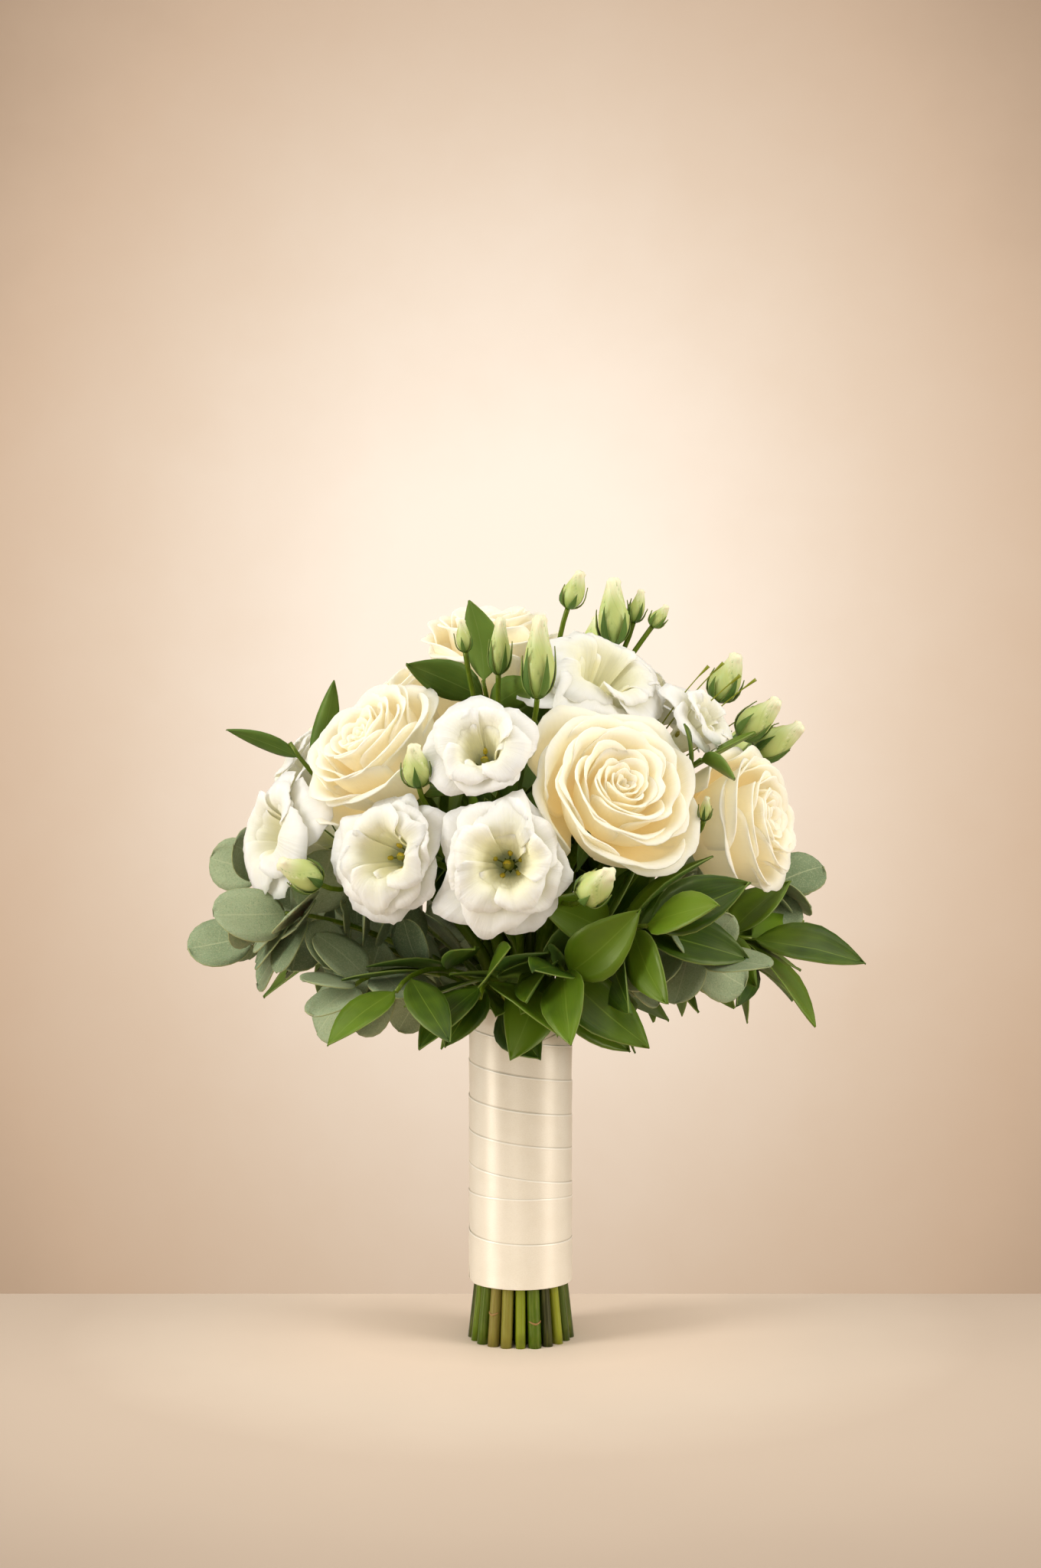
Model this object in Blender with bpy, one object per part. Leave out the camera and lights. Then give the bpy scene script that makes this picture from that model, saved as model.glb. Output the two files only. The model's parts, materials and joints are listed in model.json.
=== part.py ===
"""Bridesmaid bouquet: a domed posy of cream roses and white lisianthus in a collar of eucalyptus
and ruscus, its stems bound together, wrapped in satin ribbon and cut flat so that it stands.

Units are metres, +Z is up and the front of the bouquet faces -Y. The cut ends lie on z = 0.
"""

import math
from dataclasses import dataclass

import bmesh
import bpy
import numpy as np
from mathutils.bvhtree import BVHTree

# Handle: stem ends, binding tape and ribbon.
WRAP_BOTTOM = 0.0225
WRAP_TOP = 0.130
WRAP_RADIUS = 0.0203
WRAP_WALL = 0.0008
WRAP_TURNS = 8
WRAP_STEP = 0.0004
WRAP_SLANT = 0.0045
TAPE_BOTTOM = 0.098
TAPE_TOP = 0.122
TAPE_RADIUS = 0.0190
TAPE_WALL = 0.0006
TUBE_SIDES = 16
FOOT_SPREAD = 1.17
FAN_START = 0.131
STEM_SIDES = 5
BUD_SIDES = 4
GAP = 0.0003

# The bundle: radius of each ring of stems, how many stand in it and the radius of a stem.
RINGS = {
    "outer": (0.0158, 21, 0.0021),
    "middle": (0.0104, 11, 0.0028),
    "inner": (0.0049, 5, 0.0022),
    "centre": (0.0, 1, 0.0024),
}

PETAL = 0.0009
LEAF = 0.0008
CLEARANCE = 0.0005
ROOTED = 0.0014
TWIG_TIP = 0.0009
WELD = 0.000001


def unit(v):
    """The vector at length 1."""
    return np.asarray(v, float) / np.linalg.norm(v)


def heading(azimuth, elevation):
    """Unit vector: azimuth 0 points to the front (-Y) and 90 to the right (+X), in degrees."""
    a, e = math.radians(azimuth), math.radians(elevation)
    return np.array([math.sin(a) * math.cos(e), -math.cos(a) * math.cos(e), math.sin(e)])


def smooth(x):
    """0 below 0, 1 above 1, and an S curve between."""
    x = np.clip(x, 0.0, 1.0)
    return x * x * (3 - 2 * x)


def basis(axis):
    """Two unit vectors that make a right-handed frame with the axis."""
    axis = unit(axis)
    side = np.cross([0.0, 0.0, 1.0], axis)
    if np.linalg.norm(side) < 0.05:
        side = np.cross([0.0, 1.0, 0.0], axis)
    side = unit(side)
    return side, np.cross(axis, side)


# Flowers

@dataclass
class Layer:
    """One whorl of petals. Lengths are shares of the bloom's radius and height."""

    count: int
    root: float  # height of the root above the bloom's base, in metres
    lip_radius: float
    lip_height: float
    half_angle: float  # degrees that a petal spans on each side of its middle
    flare: float  # how far the lip rolls outwards
    ruffle: float  # height of the waves in the lip
    turn: float  # degrees that the whorl is turned by
    rows: int = 2
    columns: int = 3


ROSE_LAYERS = (
    Layer(4, 0.0030, 0.92, 0.60, 53, 0.12, 0.00, 20, 2, 4),
    Layer(4, 0.0065, 0.72, 0.88, 53, 0.06, 0.00, 62),
    Layer(3, 0.0100, 0.44, 1.00, 70, 0.02, 0.00, 10),
)
LISIANTHUS_LAYERS = (
    Layer(5, 0.0020, 0.90, 0.80, 41, 0.14, 0.040, 0),
    Layer(4, 0.0050, 0.58, 0.98, 50, 0.10, 0.040, 40),
)
ROOT_HEIGHT = 0.0014
OVERLAP = 0.07
CORE_RADIUS = {"rose": 0.0042, "lisianthus": 0.0028}
# Radius and height, as a share of the bloom's height, of the closed heart above the petals' roots.
HEART = {
    "rose": ((0.0068, 0.60), (0.0030, 0.92)),
    "lisianthus": ((0.0020, 0.30),),
}


@dataclass
class Bloom:
    """An open flower: where the middle of its face is, where it looks, and its size."""

    name: str
    kind: str
    face: tuple
    azimuth: float
    elevation: float
    radius: float
    height: float
    spin: float = 0.0

    @property
    def axis(self):
        return heading(self.azimuth, self.elevation)

    @property
    def base(self):
        return np.array(self.face) - self.height * self.axis

    @property
    def layers(self):
        return ROSE_LAYERS if self.kind == "rose" else LISIANTHUS_LAYERS

    @property
    def seat(self):
        """Where its stem ends, just under its core."""
        return self.base + (self.layers[0].root - GAP) * self.axis

    @property
    def centre(self):
        return np.array(self.face) - 0.4 * self.height * self.axis


BLOOMS = (
    Bloom("rose_front_right", "rose", (0.038, -0.086, 0.219), 20, 28, 0.0325, 0.042, 10),
    Bloom("rose_front_left", "rose", (-0.062, -0.061, 0.237), -48, 38, 0.0290, 0.042, 40),
    Bloom("rose_right", "rose", (0.098, -0.038, 0.204), 64, 8, 0.0290, 0.042, 75),
    Bloom("rose_top", "rose", (-0.013, -0.012, 0.284), -20, 76, 0.0300, 0.042, 5),
    Bloom("rose_top_left", "rose", (-0.056, 0.016, 0.257), -82, 56, 0.0260, 0.040, 60),
    Bloom("rose_back_right", "rose", (0.052, 0.072, 0.228), 142, 32, 0.0310, 0.042, 25),
    Bloom("rose_back_left", "rose", (-0.048, 0.084, 0.214), -148, 22, 0.0310, 0.042, 80),
    Bloom("lisianthus_front", "lisianthus", (-0.006, -0.100, 0.189), -4, 4, 0.0250, 0.038, 0),
    Bloom("lisianthus_front_left", "lisianthus", (-0.050, -0.088, 0.192), -24, 6, 0.0225, 0.036, 30),
    Bloom("lisianthus_centre", "lisianthus", (-0.015, -0.089, 0.232), -6, 28, 0.0180, 0.036, 18),
    Bloom("lisianthus_top", "lisianthus", (0.034, -0.040, 0.262), 34, 46, 0.0250, 0.036, 50),
    Bloom("lisianthus_right", "lisianthus", (0.074, -0.036, 0.243), 58, 34, 0.0150, 0.032, 12),
    Bloom("lisianthus_left", "lisianthus", (-0.098, -0.040, 0.199), -70, 6, 0.0240, 0.036, 22),
    Bloom("lisianthus_top_right", "lisianthus", (0.058, 0.012, 0.259), 92, 52, 0.0230, 0.036, 65),
    Bloom("lisianthus_far_left", "lisianthus", (-0.098, 0.012, 0.224), -88, 26, 0.0210, 0.036, 8),
    Bloom("lisianthus_back_top", "lisianthus", (-0.002, 0.050, 0.262), 176, 58, 0.0240, 0.036, 35),
    Bloom("lisianthus_back_right", "lisianthus", (0.098, 0.030, 0.208), 104, 12, 0.0240, 0.036, 5),
    Bloom("lisianthus_back_left", "lisianthus", (-0.094, 0.058, 0.196), -118, 6, 0.0230, 0.036, 44),
    Bloom("lisianthus_back", "lisianthus", (0.006, 0.100, 0.198), 178, 8, 0.0240, 0.036, 16),
)
BLOOM = {bloom.name: bloom for bloom in BLOOMS}


@dataclass
class Bud:
    """A closed flower on its own stalk: the middle of its foot, where it points, and its size."""

    foot: tuple
    azimuth: float
    elevation: float
    length: float
    radius: float
    fork: int = 0
    pull: float = 0.8

    @property
    def axis(self):
        return heading(self.azimuth, self.elevation)

    @property
    def centre(self):
        return np.array(self.foot) + 0.5 * self.length * self.axis


@dataclass
class Stem:
    """A flower stem: its place in the bundle, its blooms, the first at its end, and its buds."""

    name: str
    ring: str
    slot: float
    blooms: tuple
    buds: tuple = ()


STEMS = (
    Stem("rose_front_right_stem", "middle", 1, ("rose_front_right",)),
    Stem("rose_front_left_stem", "middle", 10, ("rose_front_left",)),
    Stem("rose_right_stem", "outer", 4, ("rose_right",)),
    Stem("rose_top_stem", "centre", 0, ("rose_top",)),
    Stem("rose_top_left_stem", "inner", 3.8, ("rose_top_left",)),
    Stem("rose_back_right_stem", "middle", 5, ("rose_back_right",)),
    Stem("rose_back_left_stem", "middle", 6, ("rose_back_left",)),
    Stem("lisianthus_front_stem", "outer", 0, ("lisianthus_front", "lisianthus_front_left"), (
        Bud((0.022, -0.090, 0.176), 40, 35, 0.018, 0.0060),
        Bud((-0.036, -0.078, 0.215), -20, 70, 0.016, 0.0052),
    )),
    Stem("lisianthus_centre_stem", "middle", 0, ("lisianthus_centre",), (
        Bud((0.006, -0.066, 0.247), 10, 78, 0.030, 0.0058),
        Bud((-0.008, -0.060, 0.256), 10, 74, 0.021, 0.0040),
        Bud((-0.020, -0.060, 0.264), -30, 76, 0.012, 0.0028),
    )),
    Stem("lisianthus_top_stem", "inner", 0.6, ("lisianthus_top", "lisianthus_top_right"), (
        Bud((0.018, -0.024, 0.283), 50, 64, 0.015, 0.0045),
        Bud((0.036, -0.008, 0.270), 0, 84, 0.026, 0.0062),
        Bud((0.044, -0.006, 0.279), 60, 74, 0.013, 0.0032),
        Bud((0.051, -0.010, 0.277), 70, 52, 0.010, 0.0030),
    )),
    Stem("lisianthus_right_stem", "middle", 3, ("lisianthus_right",), (
        Bud((0.076, -0.012, 0.248), 60, 64, 0.020, 0.0062),
        Bud((0.084, -0.018, 0.234), 70, 42, 0.021, 0.0062),
        Bud((0.091, -0.008, 0.227), 76, 32, 0.022, 0.0062),
        Bud((0.066, -0.066, 0.203), 20, 72, 0.009, 0.0022),
    )),
    Stem("lisianthus_left_stem", "middle", 9, ("lisianthus_left", "lisianthus_far_left"), (
        Bud((-0.072, -0.068, 0.180), -60, 28, 0.018, 0.0058),
    )),
    Stem("lisianthus_back_top_stem", "inner", 2.5, ("lisianthus_back_top",), (
        Bud((-0.029, 0.046, 0.261), -150, 70, 0.018, 0.0050),
        Bud((0.028, 0.040, 0.265), 140, 70, 0.022, 0.0056),
    )),
    Stem("lisianthus_back_right_stem", "middle", 4, ("lisianthus_back_right",), (
        Bud((0.086, 0.048, 0.226), 118, 50, 0.020, 0.0056),
    )),
    Stem("lisianthus_back_stem", "outer", 10, ("lisianthus_back",)),
    Stem("lisianthus_back_left_stem", "middle", 7, ("lisianthus_back_left",), (
        Bud((-0.078, 0.056, 0.226), -120, 50, 0.018, 0.0052),
    )),
)


@dataclass
class Spray:
    """A leafy stem: its place in the bundle, its kind, where its tip is and how it arrives there.

    reach is the tip's distance from the bouquet's middle line, rise is the elevation of the stem
    at its tip, negative where it droops, and roll turns its leaves about it, all in degrees.
    """

    name: str
    slot: int
    kind: str
    azimuth: float
    reach: float
    height: float
    rise: float
    roll: float
    leaves: int
    length: float
    start: float = 0.34
    ring: str = "outer"


SPRAYS = (
    Spray("ruscus_front", 20, "ruscus", -12, 0.070, 0.139, -56, 0, 7, 0.040, 0.20),
    Spray("ruscus_front_right", 1, "ruscus", 12, 0.078, 0.146, -40, 10, 7, 0.042, 0.20),
    Spray("ruscus_under_rose", 2, "ruscus", 29, 0.092, 0.166, 4, 60, 7, 0.044, 0.26),
    Spray("eucalyptus_front_right", 3, "eucalyptus", 47, 0.092, 0.154, -20, 40, 7, 0.027),
    Spray("ruscus_right", 5, "ruscus", 76, 0.091, 0.157, -10, 40, 6, 0.044),
    Spray("eucalyptus_right", 6, "eucalyptus", 97, 0.103, 0.176, 8, 50, 7, 0.026),
    Spray("ruscus_far_right", 7, "ruscus", 116, 0.094, 0.150, -20, 20, 6, 0.040),
    Spray("eucalyptus_back_right", 8, "eucalyptus", 134, 0.096, 0.170, 0, -40, 6, 0.026),
    Spray("ruscus_back_right", 9, "ruscus", 153, 0.078, 0.146, -34, 0, 6, 0.040),
    Spray("eucalyptus_back", 11, "eucalyptus", -172, 0.084, 0.158, -14, 30, 6, 0.026),
    Spray("ruscus_back_left", 12, "ruscus", -153, 0.078, 0.146, -34, 0, 6, 0.040),
    Spray("eucalyptus_back_left", 13, "eucalyptus", -136, 0.094, 0.166, -4, 40, 6, 0.026),
    Spray("ruscus_left", 14, "ruscus", -117, 0.094, 0.152, -20, -20, 6, 0.038),
    Spray("eucalyptus_far_left", 15, "eucalyptus", -99, 0.103, 0.182, 16, -50, 7, 0.027),
    Spray("eucalyptus_left", 16, "eucalyptus", -81, 0.104, 0.158, -12, -40, 7, 0.026),
    Spray("eucalyptus_left_low", 17, "eucalyptus", -63, 0.098, 0.168, 2, -60, 7, 0.028),
    Spray("eucalyptus_front_left", 18, "eucalyptus", -47, 0.084, 0.142, -34, -20, 7, 0.025),
    Spray("ruscus_front_left", 19, "ruscus", -31, 0.086, 0.142, -44, -10, 6, 0.038, 0.24),
    Spray("ruscus_top", 4.7, "ruscus", -16, 0.050, 0.254, 50, 0, 4, 0.036, 0.90, "inner"),
    Spray("ruscus_upper_right", 2, "ruscus", 50, 0.086, 0.225, 30, 0, 3, 0.032, 0.90, "middle"),
    Spray("ruscus_upper_left", 8, "ruscus", -81, 0.090, 0.232, 60, 60, 3, 0.036, 0.88, "middle"),
)
HEARTS = ("lisianthus_front", "lisianthus_front_left")

COLOURS = {
    "rose": ((0.86, 0.80, 0.62), 0.55),
    "lisianthus": ((0.88, 0.87, 0.80), 0.55),
    "heart": ((0.42, 0.44, 0.08), 0.5),
    "rose_stem": ((0.10, 0.20, 0.04), 0.5),
    "lisianthus_stem": ((0.24, 0.36, 0.08), 0.5),
    "eucalyptus": ((0.13, 0.22, 0.14), 0.6),
    "ruscus": ((0.04, 0.13, 0.015), 0.35),
    "ribbon": ((0.72, 0.63, 0.47), 0.3),
    "tape": ((0.12, 0.22, 0.08), 0.7),
}


def material(name, finish):
    """A piece's own material, in the colours of its finish."""
    colour, roughness = COLOURS[finish]
    made = bpy.data.materials.new(name)
    made.use_nodes = True
    shader = made.node_tree.nodes["Principled BSDF"]
    shader.inputs["Base Color"].default_value = (*colour, 1.0)
    shader.inputs["Roughness"].default_value = roughness
    return made


# Meshes

def mesh_object(name, verts, faces, look):
    """A mesh object from points and faces, with its material."""
    mesh = bpy.data.meshes.new(name)
    mesh.from_pydata([tuple(map(float, v)) for v in verts], [], [tuple(f) for f in faces])
    mesh.update()
    obj = bpy.data.objects.new(name, mesh)
    mesh.materials.append(look)
    bpy.context.scene.collection.objects.link(obj)
    return obj


def outer_skin(mesh):
    """Keeps the largest skin of a union: what it drops are sealed hollows and loose scraps."""
    bm = bmesh.new()
    bm.from_mesh(mesh)
    bmesh.ops.remove_doubles(bm, verts=bm.verts, dist=WELD)
    bmesh.ops.dissolve_degenerate(bm, dist=WELD, edges=bm.edges)
    waiting = set(bm.faces)
    skins = []
    while waiting:
        skin, edge = [], [waiting.pop()]
        while edge:
            face = edge.pop()
            skin.append(face)
            for side in face.edges:
                for near in side.link_faces:
                    if near in waiting:
                        waiting.remove(near)
                        edge.append(near)
        skins.append(skin)
    skins.sort(key=lambda skin: -sum(face.calc_area() for face in skin))
    for skin in skins[1:]:
        bmesh.ops.delete(bm, geom=skin, context="FACES")
    bm.to_mesh(mesh)
    bm.free()


def triangles_of(mesh):
    """The mesh's triangles as numbers of their points."""
    mesh.calc_loop_triangles()
    return [tuple(triangle.vertices) for triangle in mesh.loop_triangles]


def open_edges(mesh):
    """How many edges of a mesh aren't shared by exactly two triangles."""
    shared = {}
    for a, b, c in triangles_of(mesh):
        for pair in ((a, b), (b, c), (c, a)):
            pair = tuple(sorted(pair))
            shared[pair] = shared.get(pair, 0) + 1
    return sum(1 for uses in shared.values() if uses != 2)


def crossings(mesh):
    """How many pairs of a mesh's triangles cut each other."""
    triangles = triangles_of(mesh)
    tree = BVHTree.FromPolygons([tuple(v.co) for v in mesh.vertices], triangles, all_triangles=True)
    pairs = [(a, b) for a, b in tree.overlap(tree) if a < b]
    return sum(1 for a, b in pairs if not set(triangles[a]) & set(triangles[b]))


def evaluated(body):
    """A new mesh of the object with its modifiers applied."""
    graph = bpy.context.evaluated_depsgraph_get()
    return bpy.data.meshes.new_from_object(body.evaluated_get(graph))


def turn_outwards(mesh):
    """Makes every face of a closed mesh look out."""
    bm = bmesh.new()
    bm.from_mesh(mesh)
    bmesh.ops.recalc_face_normals(bm, faces=bm.faces)
    bm.to_mesh(mesh)
    bm.free()


def union(body, grown, solver, parts_itself):
    """The mesh of the body joined with the objects of a collection."""
    join = body.modifiers.new("join", "BOOLEAN")
    join.operation = "UNION"
    join.operand_type = "COLLECTION"
    join.collection = grown
    join.solver = solver
    join.use_self = parts_itself
    mesh = evaluated(body)
    body.modifiers.clear()
    outer_skin(mesh)
    return mesh


def fuse(name, solids, finish):
    """One object from closed solids, the first of which the others grow from."""
    look = material(name, finish)
    body = mesh_object(name, *solids[0], look)
    turn_outwards(body.data)
    if len(solids) > 1:
        grown = bpy.data.collections.new(name + "_grown")
        bpy.context.scene.collection.children.link(grown)
        for verts, faces in solids[1:]:
            piece = mesh_object(name + "_piece", verts, faces, look)
            bpy.context.scene.collection.objects.unlink(piece)
            grown.objects.link(piece)
        joined = union(body, grown, "EXACT", crossings(body.data) > 0)
        if open_edges(joined):
            joined = union(body, grown, "MANIFOLD", False)
        body.data = joined
        for piece in list(grown.objects):
            bpy.data.objects.remove(piece)
        bpy.data.collections.remove(grown)
    turn_outwards(body.data)
    body.data.shade_smooth()
    body.data.set_sharp_from_angle(angle=math.radians(40))
    return body


def strip(a, b):
    """Triangles between two rows of point numbers, which may differ in length."""
    faces, i, j = [], 0, 0
    while i < len(a) - 1 or j < len(b) - 1:
        next_a = (i + 0.5) / max(len(a) - 1, 1) if i < len(a) - 1 else 2.0
        next_b = (j + 0.5) / max(len(b) - 1, 1) if j < len(b) - 1 else 2.0
        if next_a < next_b:
            faces.append((a[i], a[i + 1], b[j]))
            i += 1
        else:
            faces.append((a[i], b[j + 1], b[j]))
            j += 1
    return faces


def blade(outer, inner):
    """A closed solid between two sheets, each a list of rows of points from root to tip."""
    sheets, verts = [], []
    for sheet in (outer, inner):
        numbers = []
        for row in sheet:
            numbers.append(list(range(len(verts), len(verts) + len(row))))
            verts.extend(row)
        sheets.append(numbers)
    front, back = sheets
    faces = []
    for i in range(len(front) - 1):
        faces += strip(front[i], front[i + 1])
        faces += [tuple(reversed(face)) for face in strip(back[i], back[i + 1])]
        faces.append((front[i][0], front[i + 1][0], back[i + 1][0], back[i][0]))
        faces.append((back[i][-1], back[i + 1][-1], front[i + 1][-1], front[i][-1]))
    for row, flip in ((0, False), (-1, True)):
        for k in range(len(front[row]) - 1):
            face = (front[row][k], back[row][k], back[row][k + 1], front[row][k + 1])
            faces.append(tuple(reversed(face)) if flip else face)
    verts = np.array(verts)
    return verts, facing_out(verts, faces)


def facing_out(verts, faces):
    """The faces, all turned round if they enclose a negative volume."""
    volume = 0.0
    for face in faces:
        for k in range(1, len(face) - 1):
            a, b, c = verts[face[0]], verts[face[k]], verts[face[k + 1]]
            volume += np.dot(a, np.cross(b, c))
    return faces if volume > 0 else [tuple(reversed(face)) for face in faces]


def tube(points, radii, sides, turn=0.0, level=False):
    """A closed tube through the points, with a radius at each. Where level, its foot is cut flat."""
    points = np.asarray(points, float)
    tangents = np.gradient(points, axis=0)
    if level:
        tangents[0] = (0, 0, 1)
    side, _ = basis(tangents[0])
    verts = []
    for point, tangent, radius in zip(points, tangents, radii):
        tangent = unit(tangent)
        side = unit(side - np.dot(side, tangent) * tangent)
        other = np.cross(tangent, side)
        for k in range(sides):
            a = 2 * math.pi * k / sides + turn
            verts.append(point + radius * (math.cos(a) * side + math.sin(a) * other))
    verts = np.array(verts)
    return verts, facing_out(verts, walls(len(points), sides) + caps(len(points), sides))


def walls(rings, sides):
    """Faces between each ring of points and the next."""
    faces = []
    for i in range(rings - 1):
        for k in range(sides):
            n = (k + 1) % sides
            faces.append((i * sides + k, i * sides + n, (i + 1) * sides + n, (i + 1) * sides + k))
    return faces


def caps(rings, sides):
    """The two flat ends of a stack of rings."""
    last = (rings - 1) * sides
    return [tuple(range(sides - 1, -1, -1)), tuple(range(last, last + sides))]


def circle(radius, height, sides):
    """Points of a level ring."""
    angles = [2 * math.pi * k / sides for k in range(sides)]
    return [(radius * math.cos(a), radius * math.sin(a), height) for a in angles]


def lathe(profile, sides):
    """A closed solid turned about Z from (radius, height) points, with flat ends."""
    verts = np.array([point for radius, height in profile for point in circle(radius, height, sides)])
    return verts, facing_out(verts, walls(len(profile), sides) + caps(len(profile), sides))


def sleeve(rows, sides):
    """A closed hollow tube about Z from (radius, height, slant) rows that go round its wall.

    slant tilts a row, as the edge of a ribbon that is wound on slopes.
    """
    verts = []
    for radius, height, slant in rows:
        for x, y, z in circle(radius, height, sides):
            verts.append((x, y, z + slant * (0.82 * x + 0.57 * y) / radius))
    verts = np.array(verts + verts[:sides])
    faces = walls(len(rows) + 1, sides)
    total = len(rows) * sides
    faces = [tuple(number % total for number in face) for face in faces]
    return verts[:total], facing_out(verts, faces)


# Petals

def petal_profile(bloom, layer, s):
    """Radius and height of a petal's middle line, before its lip and waves, at share s from the root."""
    lip_radius = layer.lip_radius * bloom.radius
    lip_height = layer.lip_height * bloom.height
    root_radius = CORE_RADIUS[bloom.kind]
    angle = s * math.pi / 2
    if bloom.kind == "rose":
        r = root_radius + (lip_radius - root_radius) * np.sin(angle) ** 1.15
        z = layer.root + (lip_height - layer.root) * (1 - np.cos(angle)) ** 0.78
    else:
        r = root_radius + (lip_radius - root_radius) * s**1.45
        z = layer.root + (lip_height - layer.root) * np.sin(angle) ** 1.1
    curl = np.clip((s - 0.7) / 0.3, 0, None) ** 2
    return r + layer.flare * bloom.radius * curl, z - 0.7 * layer.flare * bloom.radius * curl


def petal_point(bloom, layer, index, u, v):
    """A point of a petal's middle sheet: u runs across it from -1 to 1, v from root to lip.

    One edge of each petal lies over its neighbour and the other edge under.
    """
    s = v * (1 - (0.20 if bloom.kind == "rose" else 0.14) * np.abs(u) ** 3)
    r, z = petal_profile(bloom, layer, s)
    below, above = petal_profile(bloom, layer, s - 0.01), petal_profile(bloom, layer, s + 0.01)
    run, rise = above[0] - below[0], above[1] - below[1]
    slope = np.hypot(run, rise)
    wave = -np.cos(1.5 * math.pi * (u + 1)) * smooth((s - 0.3) / 0.6)
    lift = layer.ruffle * wave + OVERLAP * layer.lip_radius * u * smooth(s / 0.4)
    lift = lift * bloom.radius
    r = r + lift * rise / slope
    z = z - lift * run / slope
    phi = np.radians(petal_angle(bloom, layer, index) + layer.half_angle * u * smooth(s / 0.4 + 0.2))
    return np.stack([r * np.cos(phi), r * np.sin(phi), z], axis=-1)


def petal_angle(bloom, layer, index):
    """The direction that a petal's middle grows in, in degrees about the bloom's axis."""
    return bloom.spin + layer.turn + 360 * index / layer.count


def petal_rows(bloom, layer, index, thickness):
    """The rows of points of a petal's outer and inner sheet, above its root."""
    u = np.linspace(-1, 1, layer.columns + 1)
    step = 1e-3
    outer, inner = [], []
    for row in range(1, layer.rows + 1):
        v = row / layer.rows
        left, right = (petal_point(bloom, layer, index, u + side, v) for side in (-step, step))
        low, high = (petal_point(bloom, layer, index, u, v + side) for side in (-step, step))
        normal = np.cross(right - left, high - low)
        normal *= thickness / 2 / np.linalg.norm(normal, axis=-1, keepdims=True)
        middle = petal_point(bloom, layer, index, u, v)
        outer.append(middle + normal)
        inner.append(middle - normal)
    return outer, inner


def ring_points(radius, angles, height):
    """Points at the given angles, in degrees, of a level ring."""
    return [(radius * math.cos(math.radians(a)), radius * math.sin(math.radians(a)), height) for a in angles]


def loop_strip(a, angles_a, b, angles_b):
    """Triangles between two closed rings of point numbers, whose angles rise from the same start."""
    faces, i, j = [], 0, 0
    while i < len(a) or j < len(b):
        next_a = angles_a[i + 1] if i + 1 < len(a) else angles_a[0] + 360
        next_b = angles_b[j + 1] if j + 1 < len(b) else angles_b[0] + 360
        if j == len(b) or (i < len(a) and next_a <= next_b):
            faces.append((a[i], a[(i + 1) % len(a)], b[j % len(b)]))
            i += 1
        else:
            faces.append((a[i % len(a)], b[(j + 1) % len(b)], b[j]))
            j += 1
    return faces


def bloom_solid(bloom):
    """A bloom as one closed skin: each petal grows out of a face of the core that holds them."""
    radius = CORE_RADIUS[bloom.kind]
    verts, faces, below = [], [], None
    for layer in bloom.layers:
        half = 0.55 * 180 / layer.count
        angles = []
        for index in range(layer.count):
            middle = petal_angle(bloom, layer, index)
            angles += [(middle - half) % 360, (middle + half) % 360]
        order = sorted(range(len(angles)), key=lambda k: angles[k])
        sorted_angles = [angles[k] for k in order]
        low = [len(verts) + order.index(k) for k in range(len(angles))]
        high = [number + len(angles) for number in low]
        verts += ring_points(radius, sorted_angles, layer.root)
        verts += ring_points(radius, sorted_angles, layer.root + ROOT_HEIGHT)
        ring_low = sorted(low)
        ring_high = sorted(high)
        if below:
            faces += loop_strip(below[0], below[1], ring_low, sorted_angles)
        else:
            faces.append(tuple(reversed(ring_low)))
        below = (ring_high, sorted_angles)
        for index in range(layer.count):
            left, right = 2 * index, 2 * index + 1
            following = (2 * index + 2) % len(angles)
            faces.append((low[right], low[following], high[following], high[right]))
            outer, inner = petal_rows(bloom, layer, index, PETAL)
            front, back = [[low[left], low[right]]], [[high[left], high[right]]]
            for rows, numbers in ((outer, front), (inner, back)):
                for row in rows:
                    numbers.append(list(range(len(verts), len(verts) + len(row))))
                    verts += [tuple(point) for point in row]
            for i in range(len(front) - 1):
                faces += [tuple(reversed(face)) for face in strip(front[i], front[i + 1])]
                faces += strip(back[i], back[i + 1])
                faces.append((front[i][0], back[i][0], back[i + 1][0], front[i + 1][0]))
                faces.append((back[i][-1], front[i][-1], front[i + 1][-1], back[i + 1][-1]))
            for k in range(len(front[-1]) - 1):
                faces.append((front[-1][k], back[-1][k], back[-1][k + 1], front[-1][k + 1]))
    for radius, share in HEART[bloom.kind]:
        ring = list(range(len(verts), len(verts) + 6))
        angles = [60.0 * k + 5 for k in range(6)]
        verts += ring_points(radius, angles, share * bloom.height)
        faces += loop_strip(below[0], below[1], ring, angles)
        below = (ring, angles)
    faces.append(tuple(below[0]))
    return np.array(verts), faces


def placed(bloom, verts):
    """Points of a bloom's own frame in the world."""
    x, y = basis(bloom.axis)
    return bloom.base + verts @ np.array([x, y, bloom.axis])


def neighbours():
    """(centre, radius) of each bloom and bud that claims its own room in the dome."""
    rooms = [(bloom.centre, bloom.radius, bloom.name) for bloom in BLOOMS]
    for stem in STEMS:
        rooms += [(bud.centre, bud.radius + 0.001, "bud") for bud in stem.buds]
    return rooms


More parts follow.
